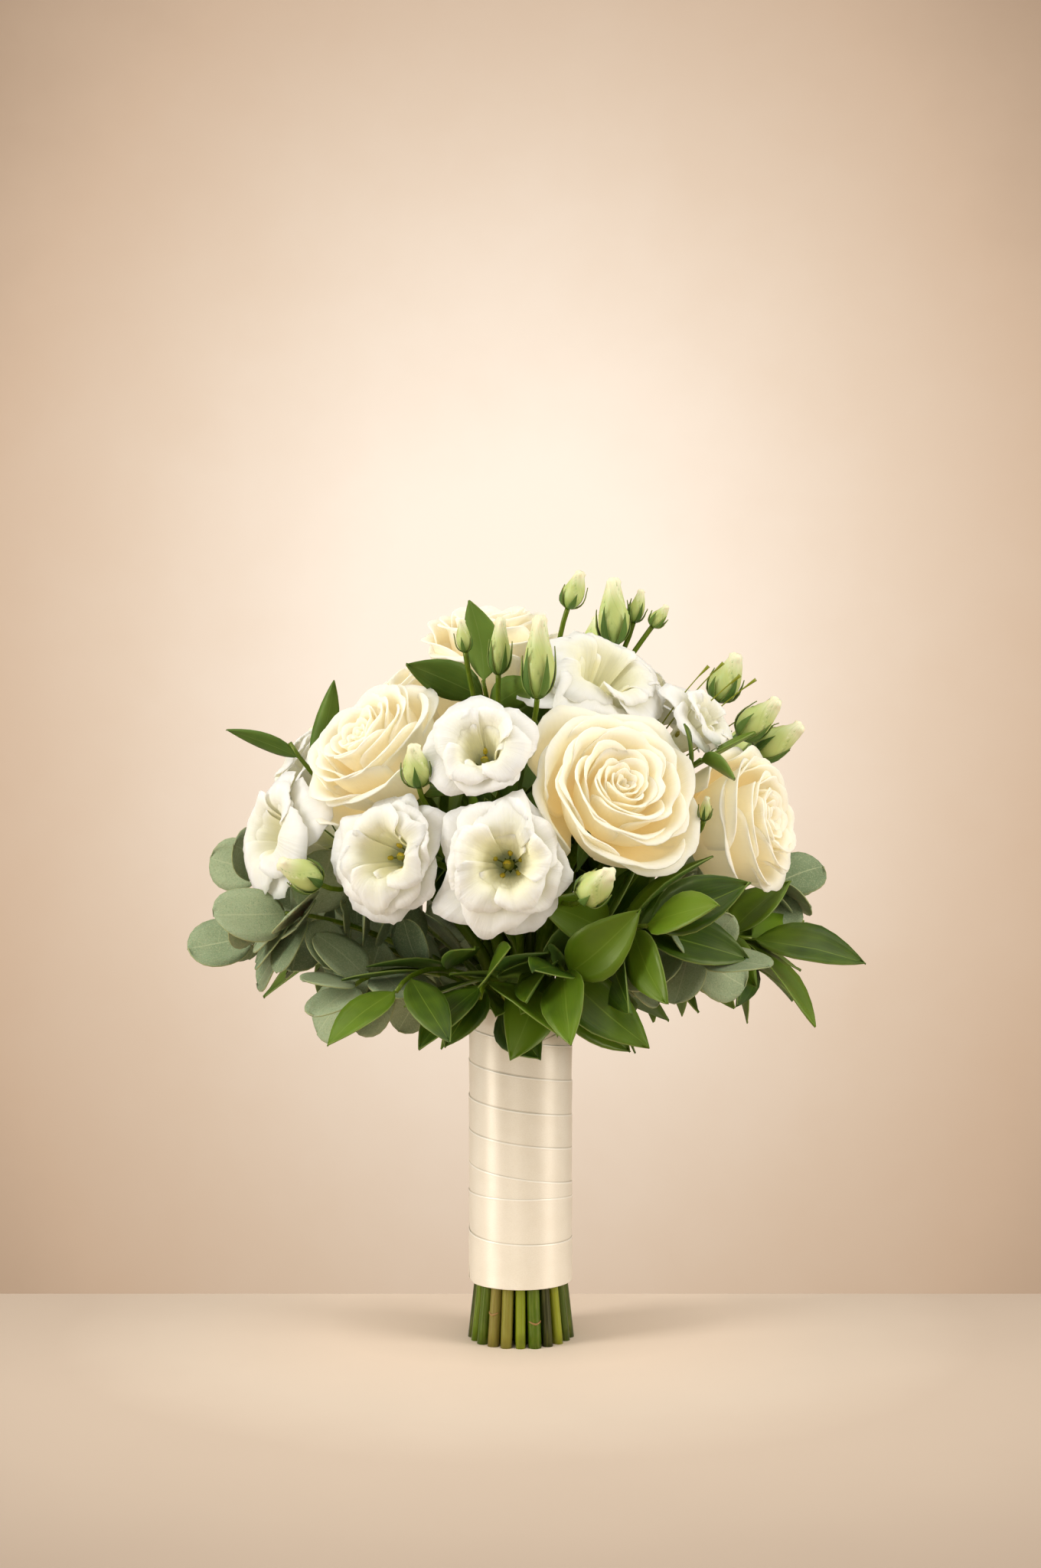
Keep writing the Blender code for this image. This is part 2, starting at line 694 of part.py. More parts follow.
def tucked(bloom, verts):
    """The points drawn towards the bloom's axis wherever they would leave its own room.

    A flat wall stands between each two neighbours, where their spheres meet.
    """
    height = (verts - bloom.base) @ bloom.axis
    middle = bloom.base + height[:, None] * bloom.axis
    out = verts - middle
    distance = np.maximum(np.linalg.norm(out, axis=1), 1e-9)
    room = np.full(len(verts), 1.0)
    for centre, radius, name in neighbours():
        span = np.linalg.norm(centre - bloom.centre)
        if name == bloom.name or span > 2.6 * bloom.radius + radius:
            continue
        wall = (centre - bloom.centre) / span
        offset = (span + bloom.radius - radius) / 2 - CLEARANCE
        towards = out @ wall / distance
        free = offset - (middle - bloom.centre) @ wall
        room = np.where(towards > 1e-6, np.minimum(room, free / np.maximum(towards, 1e-6)), room)
    reach = bloom.radius * (0.62 + 0.42 * smooth(height / (0.5 * bloom.height)))
    return middle + out * np.clip(room / reach, 0.05, 1.0)[:, None]


def crossed(verts, faces):
    """Whether any petals of a bloom cut each other, so that a union has to part them."""
    mesh = bpy.data.meshes.new("trial")
    mesh.from_pydata([tuple(v) for v in verts], [], faces)
    count = crossings(mesh)
    bpy.data.meshes.remove(mesh)
    return count > 0


def build_bloom(bloom):
    """All the petals of a bloom, rooted in its core."""
    verts, faces = bloom_solid(bloom)
    verts = tucked(bloom, placed(bloom, verts))
    solids = [(verts, faces)]
    if crossed(verts, faces):
        low = bloom.layers[0].root
        pith = lathe([(0.001, low + 0.0004), (0.001, low + 0.0010)], 4)
        solids.append((placed(bloom, pith[0]), pith[1]))
    return fuse(bloom.name, solids, bloom.kind)


# Stems

def slot_point(ring, slot):
    """Where a stem stands in the bundle, as x and y, and its radius."""
    radius, count, thickness = RINGS[ring]
    return heading(360 * slot / count, 0)[:2] * radius, thickness


def bend(start, start_way, end, end_way, count, pull=0.9):
    """Points of a smooth curve from start to end that leaves and arrives along the given ways."""
    t = np.linspace(0, 1, count)[:, None]
    length = np.linalg.norm(np.asarray(end) - start) * pull
    a, b = unit(start_way) * length, unit(end_way) * length
    return (
        (2 * t**3 - 3 * t**2 + 1) * start
        + (t**3 - 2 * t**2 + t) * a
        + (3 * t**2 - 2 * t**3) * end
        + (t**3 - t**2) * b
    )


def handle_points(ring, slot):
    """The straight part of a stem, from its cut end to the top of the ribbon."""
    spot, thickness = slot_point(ring, slot)
    foot = np.array([*(spot * FOOT_SPREAD), 0.0])
    gathered = np.array([*spot, WRAP_BOTTOM + 0.001])
    return [foot, gathered, np.array([*spot, FAN_START])], thickness


def bud_solid(start, start_way, bud):
    """A stalk and its bud, swept as one body."""
    foot = np.array(bud.foot)
    stalk = bend(start, start_way, foot, bud.axis, 3, bud.pull)
    profile = ((0.0, 0.45), (0.30, 1.0), (0.62, 0.78), (1.0, 0.14))
    points = list(stalk) + [foot + share * bud.length * bud.axis for share, _ in profile[1:]]
    radii = [0.0009] * 2 + [0.0012] + [bud.radius * width for _, width in profile[1:]]
    return tube(points, radii, BUD_SIDES)


def build_stem(stem):
    """A flower stem with its side branches and buds."""
    handle, thickness = handle_points(stem.ring, stem.slot)
    rose = stem.blooms[0].startswith("rose")
    bloom = BLOOM[stem.blooms[0]]
    seat = bloom.seat
    hip = 0.0038 if rose else 0.0026
    fan = bend(handle[-1], (0, 0, 1), seat - 0.008 * bloom.axis, bloom.axis, 5)
    points = handle[:-1] + list(fan) + [seat - 0.004 * bloom.axis, seat]
    neck = thickness * (0.75 if rose else 0.6)
    radii = [thickness, thickness, thickness, *np.linspace(thickness, neck, 4), hip, 0.8 * hip]
    solids = [tube(points, radii, STEM_SIDES, 0.3 * stem.slot, True)]
    for name in stem.blooms[1:]:
        side = BLOOM[name]
        seat = side.seat
        start = fan[1]
        way = unit(fan[2] - fan[1])
        branch = list(bend(start, way, seat - 0.008 * side.axis, side.axis, 4))
        points = branch + [seat - 0.004 * side.axis, seat]
        solids.append(tube(points, [0.0010, 0.0013, 0.0013, 0.0013, 0.0026, 0.0021], STEM_SIDES))
    for bud in stem.buds:
        start, way = branch_point(fan, bud)
        solids.append(bud_solid(start, way, bud))
    return fuse(stem.name, solids, "rose_stem" if rose else "lisianthus_stem")


def branch_point(fan, bud):
    """Where a bud's stalk leaves the stem: the fork nearest to the bud that is well below it."""
    towards = np.array(bud.foot)
    if bud.fork:
        return fan[bud.fork], unit(towards - fan[bud.fork]) + np.array([0, 0, 0.4])
    best = min(fan[1:4], key=lambda p: np.linalg.norm(p - (towards - 0.03 * unit(towards - fan[0]))))
    return best, unit(towards - best) + np.array([0, 0, 0.4])


# Leaves

# Half width, as a share of the widest, at shares of the length from base to tip.
LEAF_OUTLINE = {
    "ruscus": ((0.0, 0.0), (0.30, 0.92), (0.66, 0.84), (1.0, 0.0)),
    "eucalyptus": ((0.0, 0.0), (0.28, 0.92), (0.70, 0.96), (1.0, 0.42)),
}


@dataclass
class Leaf:
    """A blade: its foot, the way it points, the way its upper face looks, and its size."""

    kind: str
    foot: np.ndarray
    way: np.ndarray
    up: np.ndarray
    length: float
    width: float
    arch: float

    def solid(self, thickness, grow=0.0):
        """The blade as a closed solid, larger all round by grow where a clearance is tested."""
        way = unit(self.way)
        up = unit(self.up - np.dot(self.up, way) * way)
        side = np.cross(way, up)
        folded = self.kind == "ruscus"
        outer, inner = [], []
        for share, width in LEAF_OUTLINE[self.kind]:
            half = width * self.width / 2 + grow
            drop = -self.arch * self.length * share**2
            spine = self.foot + way * (share * self.length + (grow if share == 1 else 0)) + up * drop
            edge = up * (0.22 * half if folded else 0)
            row = [spine - side * half + edge, spine, spine + side * half + edge]
            if width == 0:
                row = [spine]
            elif not folded:
                row = [row[0], row[2]]
            outer.append([p + up * (thickness / 2 + grow) for p in row])
            inner.append([p - up * (thickness / 2 + grow) for p in row])
        return blade(outer, inner)


# A leaf that would meet something is swung, tipped, rolled about its twig or made smaller.
LEAF_TRIES = [
    (swing, tip, roll, size)
    for size in (1.0, 0.8)
    for roll in (0, 30, -30, 60, -60, 100, -100)
    for tip in (0, -20, 20, 40, -40)
    for swing in (0, -20, 20, 35)
]


def turned(vector, axis, degrees):
    """The vector turned about the axis."""
    axis, a = unit(axis), math.radians(degrees)
    return (
        vector * math.cos(a)
        + np.cross(axis, vector) * math.sin(a)
        + axis * np.dot(axis, vector) * (1 - math.cos(a))
    )


class Room:
    """What stands already, to keep later pieces clear of it."""

    def __init__(self):
        self.taken = []

    def put(self, name, verts, faces):
        tree = BVHTree.FromPolygons([tuple(v) for v in verts], faces)
        self.taken.append((name, np.min(verts, axis=0), np.max(verts, axis=0), tree))

    def add(self, obj):
        verts = np.array([tuple(v.co) for v in obj.data.vertices])
        self.put(obj.name, verts, [tuple(p.vertices) for p in obj.data.polygons])

    def meets(self, verts, faces, apart_from=""):
        """The name of a piece that the solid cuts, or None."""
        low, high = verts.min(0), verts.max(0)
        tree = None
        for name, lowest, highest, other in self.taken:
            if name == apart_from or (low > highest).any() or (high < lowest).any():
                continue
            tree = tree or BVHTree.FromPolygons([tuple(v) for v in verts], faces)
            if tree.overlap(other):
                return name
        return None


def spray_curve(spray, count=5):
    """The centre line of a leafy stem above the ribbon."""
    handle, _ = handle_points(spray.ring, spray.slot)
    flat = heading(spray.azimuth, 0)
    tip = flat * spray.reach + np.array([0, 0, spray.height])
    lean = 0.9 if spray.ring == "outer" else 0.0
    way = flat * lean + np.array([0, 0, 1.0])
    return bend(handle[-1], way, tip, heading(spray.azimuth, spray.rise), count, 0.8)


def nominal_leaf(spray, index, curve):
    """Leaf number index of a spray, before it makes way for its neighbours."""
    share = spray.start + (1 - spray.start) * index / (spray.leaves - 1)
    fine = np.linspace(0, 1, len(curve))
    foot = np.array([np.interp(share, fine, curve[:, k]) for k in range(3)])
    ahead = np.array([np.interp(min(share + 0.05, 1), fine, curve[:, k]) for k in range(3)])
    behind = np.array([np.interp(share - 0.05, fine, curve[:, k]) for k in range(3)])
    along = unit(ahead - behind)
    side = unit(np.cross(along, [0, 0, 1.0]))
    up = turned(np.cross(side, along), along, spray.roll + 14 * math.sin(2.4 * index + spray.slot))
    side = unit(np.cross(along, up)) * (1 if index % 2 else -1)
    last = index == spray.leaves - 1
    spread = 8 if last else (52 if spray.kind == "ruscus" else 76)
    way = unit(along * math.cos(math.radians(spread)) + side * math.sin(math.radians(spread)))
    shape = 0.42 if spray.kind == "ruscus" else 0.82
    length = spray.length * (0.94 + 0.12 * math.sin(1.7 * index + spray.slot))
    return Leaf(spray.kind, foot, way, up, length, length * shape, 0.10), along, last


def tried_leaf(spray, index, curve, attempt):
    """A leaf after it has been moved as one of LEAF_TRIES says, with its foot sunk in the twig."""
    leaf, along, last = nominal_leaf(spray, index, curve)
    swing, tip, roll, size = attempt
    leaf.way, leaf.up = turned(leaf.way, along, roll), turned(leaf.up, along, roll)
    leaf.way = turned(leaf.way, leaf.up, swing)
    across = np.cross(leaf.way, leaf.up)
    leaf.way, leaf.up = turned(leaf.way, across, tip), turned(leaf.up, across, tip)
    leaf.length *= size
    leaf.width *= size
    leaf.foot = leaf.foot - ROOTED * (0.6 * leaf.way + (0.9 if last else 0.4) * along)
    return leaf


def twig_solid(spray, grow=0.0):
    """The stem of a spray."""
    handle, thickness = handle_points(spray.ring, spray.slot)
    points = handle[:-1] + list(spray_curve(spray))
    radii = [thickness, thickness, thickness, *np.linspace(0.0014, TWIG_TIP, 4)]
    return tube(points, [r + grow for r in radii], STEM_SIDES, 0.3 * spray.slot, True)


def build_spray(spray, room):
    """A leafy stem with its leaves, each clear of what stands already."""
    curve = spray_curve(spray)
    own = Room()
    solids = [twig_solid(spray)]
    for index in range(spray.leaves):
        for attempt in LEAF_TRIES:
            leaf = tried_leaf(spray, index, curve, attempt)
            wide = leaf.solid(LEAF, CLEARANCE)
            if not room.meets(*wide, spray.name) and not own.meets(*wide):
                verts, faces = leaf.solid(LEAF)
                solids.append((verts, faces))
                own.put("leaf", verts, faces)
                break
    return fuse(spray.name, solids, spray.kind)


# Handle

def build_ribbon():
    """The satin ribbon: a sleeve of overlapping turns, each a little proud of the one above."""
    inner_radius = WRAP_RADIUS - WRAP_WALL
    pitch = (WRAP_TOP - WRAP_BOTTOM) / WRAP_TURNS
    rows = [(WRAP_RADIUS, WRAP_BOTTOM, 0.0)]
    for turn in range(1, WRAP_TURNS):
        level = WRAP_BOTTOM + turn * pitch
        rows.append((WRAP_RADIUS - WRAP_STEP, level - WRAP_STEP, WRAP_SLANT))
        rows.append((WRAP_RADIUS, level + WRAP_STEP, WRAP_SLANT))
    rows.append((WRAP_RADIUS - WRAP_STEP, WRAP_TOP, 0.0))
    rows.append((inner_radius, WRAP_TOP, 0.0))
    rows.append((inner_radius, WRAP_BOTTOM, 0.0))
    return fuse("ribbon_wrap", [sleeve(rows, TUBE_SIDES)], "ribbon")


def build_heart(name):
    """The green and yellow heart of an open bloom, standing on the bloom's core."""
    bloom = BLOOM[name]
    foot = HEART["lisianthus"][0][1] * bloom.height + GAP
    profile = ((0.0014, 0.0), (0.0024, 0.0030), (0.0026, 0.0052), (0.0012, 0.0068))
    verts, faces = lathe([(radius, foot + height) for radius, height in profile], 6)
    return fuse(name + "_heart", [(placed(bloom, verts), faces)], "heart")


def build_tape():
    """The tape that binds the stems, under the ribbon."""
    inner_radius = TAPE_RADIUS - TAPE_WALL
    rows = (
        (TAPE_RADIUS, TAPE_BOTTOM, 0.0),
        (TAPE_RADIUS, TAPE_TOP, 0.0),
        (inner_radius, TAPE_TOP, 0.0),
        (inner_radius, TAPE_BOTTOM, 0.0),
    )
    return fuse("binding_tape", [sleeve(rows, TUBE_SIDES)], "tape")


def main():
    for obj in list(bpy.data.objects):
        bpy.data.objects.remove(obj)
    room = Room()
    room.add(build_ribbon())
    build_tape()
    for bloom in BLOOMS:
        room.add(build_bloom(bloom))
    for name in HEARTS:
        build_heart(name)
    for stem in STEMS:
        room.add(build_stem(stem))
    for spray in SPRAYS:
        room.put(spray.name, *twig_solid(spray))
    for spray in SPRAYS:
        room.add(build_spray(spray, room))


main()
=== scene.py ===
"""Looks of the bridesmaid bouquet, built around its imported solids.

Every piece keeps the place and the form of the solid that it stands for: the same flowers, stems
and leaves, with all their petals, veins and folds. Units are metres, +Z is up and the bouquet's
face looks along -Y.
"""

import json
import logging
import math
from collections.abc import Sequence
from dataclasses import dataclass, field
from enum import Enum
from functools import cache
from typing import Any, ClassVar

import bpy
import numpy as np
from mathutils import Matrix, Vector
from mathutils.kdtree import KDTree

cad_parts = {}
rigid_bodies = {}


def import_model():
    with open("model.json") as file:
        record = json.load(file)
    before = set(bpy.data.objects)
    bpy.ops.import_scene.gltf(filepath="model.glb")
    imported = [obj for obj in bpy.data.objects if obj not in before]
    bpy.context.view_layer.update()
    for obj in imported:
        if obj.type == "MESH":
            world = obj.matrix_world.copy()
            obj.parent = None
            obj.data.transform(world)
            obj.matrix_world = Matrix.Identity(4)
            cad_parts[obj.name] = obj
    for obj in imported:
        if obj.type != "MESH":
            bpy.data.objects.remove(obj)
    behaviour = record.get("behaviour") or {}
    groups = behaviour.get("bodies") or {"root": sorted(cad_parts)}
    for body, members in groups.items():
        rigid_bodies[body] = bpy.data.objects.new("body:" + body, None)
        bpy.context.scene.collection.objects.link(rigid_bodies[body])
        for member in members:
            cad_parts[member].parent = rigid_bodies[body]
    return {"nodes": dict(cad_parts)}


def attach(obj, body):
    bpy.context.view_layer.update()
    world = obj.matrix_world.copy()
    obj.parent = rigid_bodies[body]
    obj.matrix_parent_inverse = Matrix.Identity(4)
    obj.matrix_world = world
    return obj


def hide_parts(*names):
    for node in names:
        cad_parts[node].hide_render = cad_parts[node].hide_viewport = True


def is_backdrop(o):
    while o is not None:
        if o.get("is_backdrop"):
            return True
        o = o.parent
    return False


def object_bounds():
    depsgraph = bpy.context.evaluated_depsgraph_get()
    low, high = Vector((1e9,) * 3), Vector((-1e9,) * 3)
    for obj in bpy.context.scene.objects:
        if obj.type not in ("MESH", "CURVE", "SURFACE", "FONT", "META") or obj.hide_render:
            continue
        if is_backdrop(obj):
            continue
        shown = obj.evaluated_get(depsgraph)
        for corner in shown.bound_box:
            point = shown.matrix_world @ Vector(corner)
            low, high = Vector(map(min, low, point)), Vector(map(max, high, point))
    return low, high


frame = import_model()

log = logging.getLogger("bouquet")
Colour = Place = tuple[float, float, float]

# The ribbon's lower and upper edge and its radius, as in the solids.
WRAP_BOTTOM = 0.0225
WRAP_TOP = 0.130
WRAP_RADIUS = 0.0203
# How much wider the stems stand at their cut ends than in the ribbon, and where they start to fan out.
FOOT_SPREAD = 1.17
FAN_START = 0.131
# The air between two solids.
GAP = 0.0003
# Points of a middle line: as leaves are placed on it, and as the solids have it.
FINE = 24
COARSE = 5
# Degrees from one petal to the next that grows.
GOLDEN_ANGLE = 137.5
UP = np.array([0, 0, 1.0])
# Sides and rings of the rods that stems, hearts and buds are copies of.
STEM_REED = (12, 40)
HEART_REED = (10, 10)
BUD_REED = (30, 16)
# Columns and rows of the sheets for leaves, sepals and the ribbon.
LEAF_SHEET = (6, 12)
SEPAL_SHEET = (4, 8)
RIBBON_SHEET = (8, 760)


@dataclass(frozen=True)
class Circle:
    """Stems that stand in a circle: its radius, how many there are, and how thick each is."""

    radius: float
    count: int
    thickness: float


class Ring(Enum):
    """The circles of stems in the handle, as in the solids."""

    OUTER = Circle(0.0158, 21, 0.0021)
    MIDDLE = Circle(0.0104, 11, 0.0028)
    INNER = Circle(0.0049, 5, 0.0022)
    CENTRE = Circle(0.0, 1, 0.0024)


# Vectors and curves


def unit(v: Any) -> np.ndarray:
    """The vector at length 1."""
    return np.asarray(v, float) / np.linalg.norm(v)


def heading(azimuth: float, elevation: float) -> np.ndarray:
    """Unit vector of an azimuth, 0 to the front and 90 to the right, and an elevation, in degrees."""
    a, e = math.radians(azimuth), math.radians(elevation)
    return np.array([math.sin(a) * math.cos(e), -math.cos(a) * math.cos(e), math.sin(e)])


def smooth(x: Any) -> Any:
    """0 below 0, 1 above 1, and an S curve between."""
    x = np.clip(x, 0.0, 1.0)
    return x * x * (3 - 2 * x)


def basis(axis: np.ndarray) -> tuple[np.ndarray, np.ndarray]:
    """Two unit vectors that make a right-handed frame with a third.

    Args:
        axis: The way of the third.

    Returns:
        The first and the second.
    """
    axis = unit(axis)
    side = np.cross(UP, axis)
    if np.linalg.norm(side) < 0.05:
        side = np.cross([0.0, 1.0, 0.0], axis)
    side = unit(side)
    return side, np.cross(axis, side)


def turned(vector: np.ndarray, axis: np.ndarray, degrees: float) -> np.ndarray:
    """A vector turned about an axis.

    Args:
        vector: What is turned.
        axis: The way of the axis.
        degrees: How far, anticlockwise seen from the axis's tip.

    Returns:
        The turned vector.
    """
    axis, a = unit(axis), math.radians(degrees)
    return (
        vector * math.cos(a)
        + np.cross(axis, vector) * math.sin(a)
        + axis * np.dot(axis, vector) * (1 - math.cos(a))
    )


def bend(
    start: np.ndarray, start_way: Any, end: np.ndarray, end_way: Any, count: int, pull: float = 0.9
) -> np.ndarray:
    """Points of a smooth curve.

    Args:
        start: Where it begins.
        start_way: The way that it leaves.
        end: Where it ends.
        end_way: The way that it arrives.
        count: How many points.
        pull: How far the two ways carry, as a share of the distance.

    Returns:
        The points, one a row.
    """
    t = np.linspace(0, 1, count)[:, None]
    length = np.linalg.norm(np.asarray(end) - start) * pull
    a, b = unit(start_way) * length, unit(end_way) * length
    return (
        (2 * t**3 - 3 * t**2 + 1) * start
        + (t**3 - 2 * t**2 + t) * a
        + (3 * t**2 - 2 * t**3) * end
        + (t**3 - t**2) * b
    )


def part_way(path: np.ndarray, share: float) -> np.ndarray:
    """The place at a share of the way along a path's points, from 0 to 1."""
    ticks = np.linspace(0, 1, len(path))
    return np.array([np.interp(share, ticks, path[:, k]) for k in range(3)])


def ripple(rng: np.random.Generator, u: np.ndarray, v: np.ndarray, waves: Sequence[float]) -> np.ndarray:
    """A smooth uneven surface between about -1 and 1.

    Args:
        rng: Where its draws come from.
        u: Places across.
        v: Places along.
        waves: How many waves go across, one number for each set of waves.

    Returns:
        The height at each place.
    """
    total = np.zeros_like(u)
    for number in waves:
        phase, slant = rng.uniform(0, 2 * math.pi), rng.uniform(-0.5, 0.5)
        total += np.sin(math.pi * number * (u + slant * v) + phase)
    return total / max(len(waves), 1)


# Shader maths


class Wire:
    """A shader socket that can stand in a sum, a difference or a product."""

    def __init__(self, recipe: "Recipe", socket: Any) -> None:
        """Keeps the recipe that the socket belongs to."""
        self.recipe = recipe
        self.socket = socket

    def _math(self, operation: str, first: Any, second: Any) -> "Wire":
        """A Math node on two values."""
        return self.recipe.node("ShaderNodeMath", {"operation": operation}, {0: first, 1: second})

    def __add__(self, other: Any) -> "Wire":
        """This plus another."""
        return self._math("ADD", self, other)

    def __radd__(self, other: Any) -> "Wire":
        """Another plus this."""
        return self._math("ADD", other, self)

    def __sub__(self, other: Any) -> "Wire":
        """This less another."""
        return self._math("SUBTRACT", self, other)

    def __rsub__(self, other: Any) -> "Wire":
        """Another less this."""
        return self._math("SUBTRACT", other, self)

    def __mul__(self, other: Any) -> "Wire":
        """This times another."""
        return self._math("MULTIPLY", self, other)

    def __rmul__(self, other: Any) -> "Wire":
        """Another times this."""
        return self._math("MULTIPLY", other, self)

    def size(self) -> "Wire":
        """Its size without its sign."""
        return self._math("ABSOLUTE", self, 0.0)


class Recipe:
    """The shader of one material."""

    def __init__(self, name: str) -> None:
        """Starts a material with a Principled shader.

        Args:
            name: The material's name.
        """
        self.colour: Any = None
        self.material = bpy.data.materials.new(name)
        self.material.use_nodes = True
        self.tree = self.material.node_tree
        self.shader = self.tree.nodes["Principled BSDF"]

    def node(
        self,
        kind: str,
        settings: dict[str, Any] | None = None,
        sockets: dict[Any, Any] | None = None,
        output: int = 0,
    ) -> Wire:
        """Adds a node.

        Args:
            kind: The node's type.
            settings: Its settings, set first; "stops" are a ramp's (place, colour) pairs.
            sockets: A value or a wire for each input that is named or numbered.
            output: The number of the output that is wanted.

        Returns:
            That output.
        """
        made = self.tree.nodes.new(kind)
        for key, value in (settings or {}).items():
            if key == "stops":
                ramp = made.color_ramp
                while len(ramp.elements) < len(value):
                    ramp.elements.new(0.5)
                for element, (place, colour) in zip(ramp.elements, value):
                    element.position = place
                    element.color = (*colour, 1.0)
            else:
                setattr(made, key, value)
        for key, value in (sockets or {}).items():
            self.feed(made.inputs[key], value)
        return Wire(self, made.outputs[output])

    def feed(self, socket: Any, value: Any) -> None:
        """Links a wire to a socket, or sets the socket's own value.

        Args:
            socket: The input.
            value: The wire, number or colour that it gets.
        """
        if isinstance(value, Wire):
            self.tree.links.new(value.socket, socket)
        elif socket.type == "RGBA":
            socket.default_value = (*value, 1.0)
        else:
            socket.default_value = value

    def mark(self, name: str) -> Wire:
        """The value that the mesh stores under a name."""
        return self.node("ShaderNodeAttribute", {"attribute_name": name}, output=2)

    def place(self, stretch: Sequence[float] = (1, 1, 1)) -> Wire:
        """The place on the object, in metres times the stretch."""
        where = self.node("ShaderNodeTexCoord", output=3)
        return self.node("ShaderNodeMapping", None, {"Vector": where, "Scale": stretch})

    def spot(self, stretch: Sequence[float] = (1, 1, 1)) -> Wire:
        """The place on the piece's own map, times the stretch."""
        where = self.node("ShaderNodeUVMap", {"uv_map": "map"})
        return self.node("ShaderNodeMapping", None, {"Vector": where, "Scale": stretch})

    def noise(self, where: Wire, scale: float, detail: float = 2.0, rough: float = 0.5) -> Wire:
        """Soft noise between 0 and 1."""
        sockets = {"Vector": where, "Scale": scale, "Detail": detail, "Roughness": rough}
        return self.node("ShaderNodeTexNoise", None, sockets)

    def cells(self, where: Wire, scale: float) -> Wire:
        """The distance to the nearest wall between cells."""
        sockets = {"Vector": where, "Scale": scale}
        return self.node("ShaderNodeTexVoronoi", {"feature": "DISTANCE_TO_EDGE"}, sockets)

    def step(self, value: Any, low: float, high: float) -> Wire:
        """0 below low, 1 above high, smooth between; the two may be the other way round."""
        sockets = {"Value": value, "From Min": low, "From Max": high}
        return self.node("ShaderNodeMapRange", {"interpolation_type": "SMOOTHSTEP"}, sockets)

    def blend(self, first: Any, second: Any, share: Any) -> Wire:
        """The first colour turning into the second as share goes from 0 to 1."""
        return self.node("ShaderNodeMix", {"data_type": "RGBA"}, {0: share, 6: first, 7: second}, 2)

    def tint(self, colour: Any, share: Any) -> None:
        """Turns the surface's colour into another by a share from 0 to 1."""
        self.colour = self.blend(self.colour, colour, share)

    def ramp(self, value: Wire, stops: Sequence[tuple[float, Colour]]) -> Wire:
        """A colour for each value from 0 to 1."""
        return self.node("ShaderNodeValToRGB", {"stops": stops}, {"Fac": value})

    def relief(self, height: Wire, depth: float, strength: float = 1.0) -> None:
        """Gives the surface a relief that is depth metres deep."""
        sockets = {"Strength": strength, "Distance": depth, "Height": height}
        self.feed(self.shader.inputs["Normal"], self.node("ShaderNodeBump", None, sockets))

    def constants(self, **values: Any) -> None:
        """Sets the shader's own sockets, named with underscores."""
        for key, value in values.items():
            self.feed(self.shader.inputs[key.replace("_", " ")], value)


# Finishes


@dataclass(frozen=True)
class PetalFinish:
    """The skin of a petal, from its lip to its root.

    glow is how much light passes through it, light is a painted glow that it gives off by itself to lift
    its shade, veined is how strongly its veins show, and relief is how deep they are, in metres.
    """

    name: str
    lip: Colour
    face: Colour
    depth: Colour
    throat: Colour
    glow: float
    light: float
    veined: float
    relief: float
    roughness: float = 0.55

    def material(self) -> bpy.types.Material:
        """Mixes the material of these petals.

        Returns:
            The material.
        """
        made = Recipe(self.name)
        along, inward, tone = made.mark("along"), made.mark("depth"), made.mark("tone")
        cloud = made.noise(made.place(), 110.0, 3.0)
        # Warmer towards the heart and the feet of the petals: partly the flower's own colour, partly painted
        # warm light deep in the bloom.
        warm = made.step(inward * 0.55 + (1 - along) * 1.15 + (cloud - 0.5) * 0.25, 0.12, 0.95)
        made.colour = made.blend(self.face, self.depth, warm)
        made.tint(self.throat, made.step(along, 0.42, 0.10))
        lit = made.step(along + (made.noise(made.place(), 300.0) - 0.5) * 0.10, 0.80, 1.0)
        made.tint(self.lip, lit * 0.8)
        shade = tuple(0.86 * part for part in self.face)
        made.tint(shade, made.step(cloud + (tone - 0.5) * 0.3, 0.50, 0.80) * 0.25)
        vein = made.noise(made.spot((46, 1.3, 1)), 1.0, 3.0, 0.6)
        made.tint(shade, made.step(vein, 0.50, 0.72) * self.veined)
        made.constants(Base_Color=made.colour, Roughness=self.roughness, Subsurface_Weight=self.glow)
        made.constants(Subsurface_Scale=0.006, Subsurface_Radius=(1.0, 0.85, 0.55), Sheen_Weight=0.10)
        # Painted glow: the petals give off light of their own, warmer towards the heart, to lift their shade.
        made.constants(Specular_IOR_Level=0.25, Emission_Strength=self.light)
        made.constants(Emission_Color=made.blend(self.face, self.depth, warm))
        crease = vein * 0.6 + made.noise(made.spot((9, 3.0, 1)), 1.0, 2.0) * 0.6
        made.relief(crease, self.relief, 0.8)
        return made.material


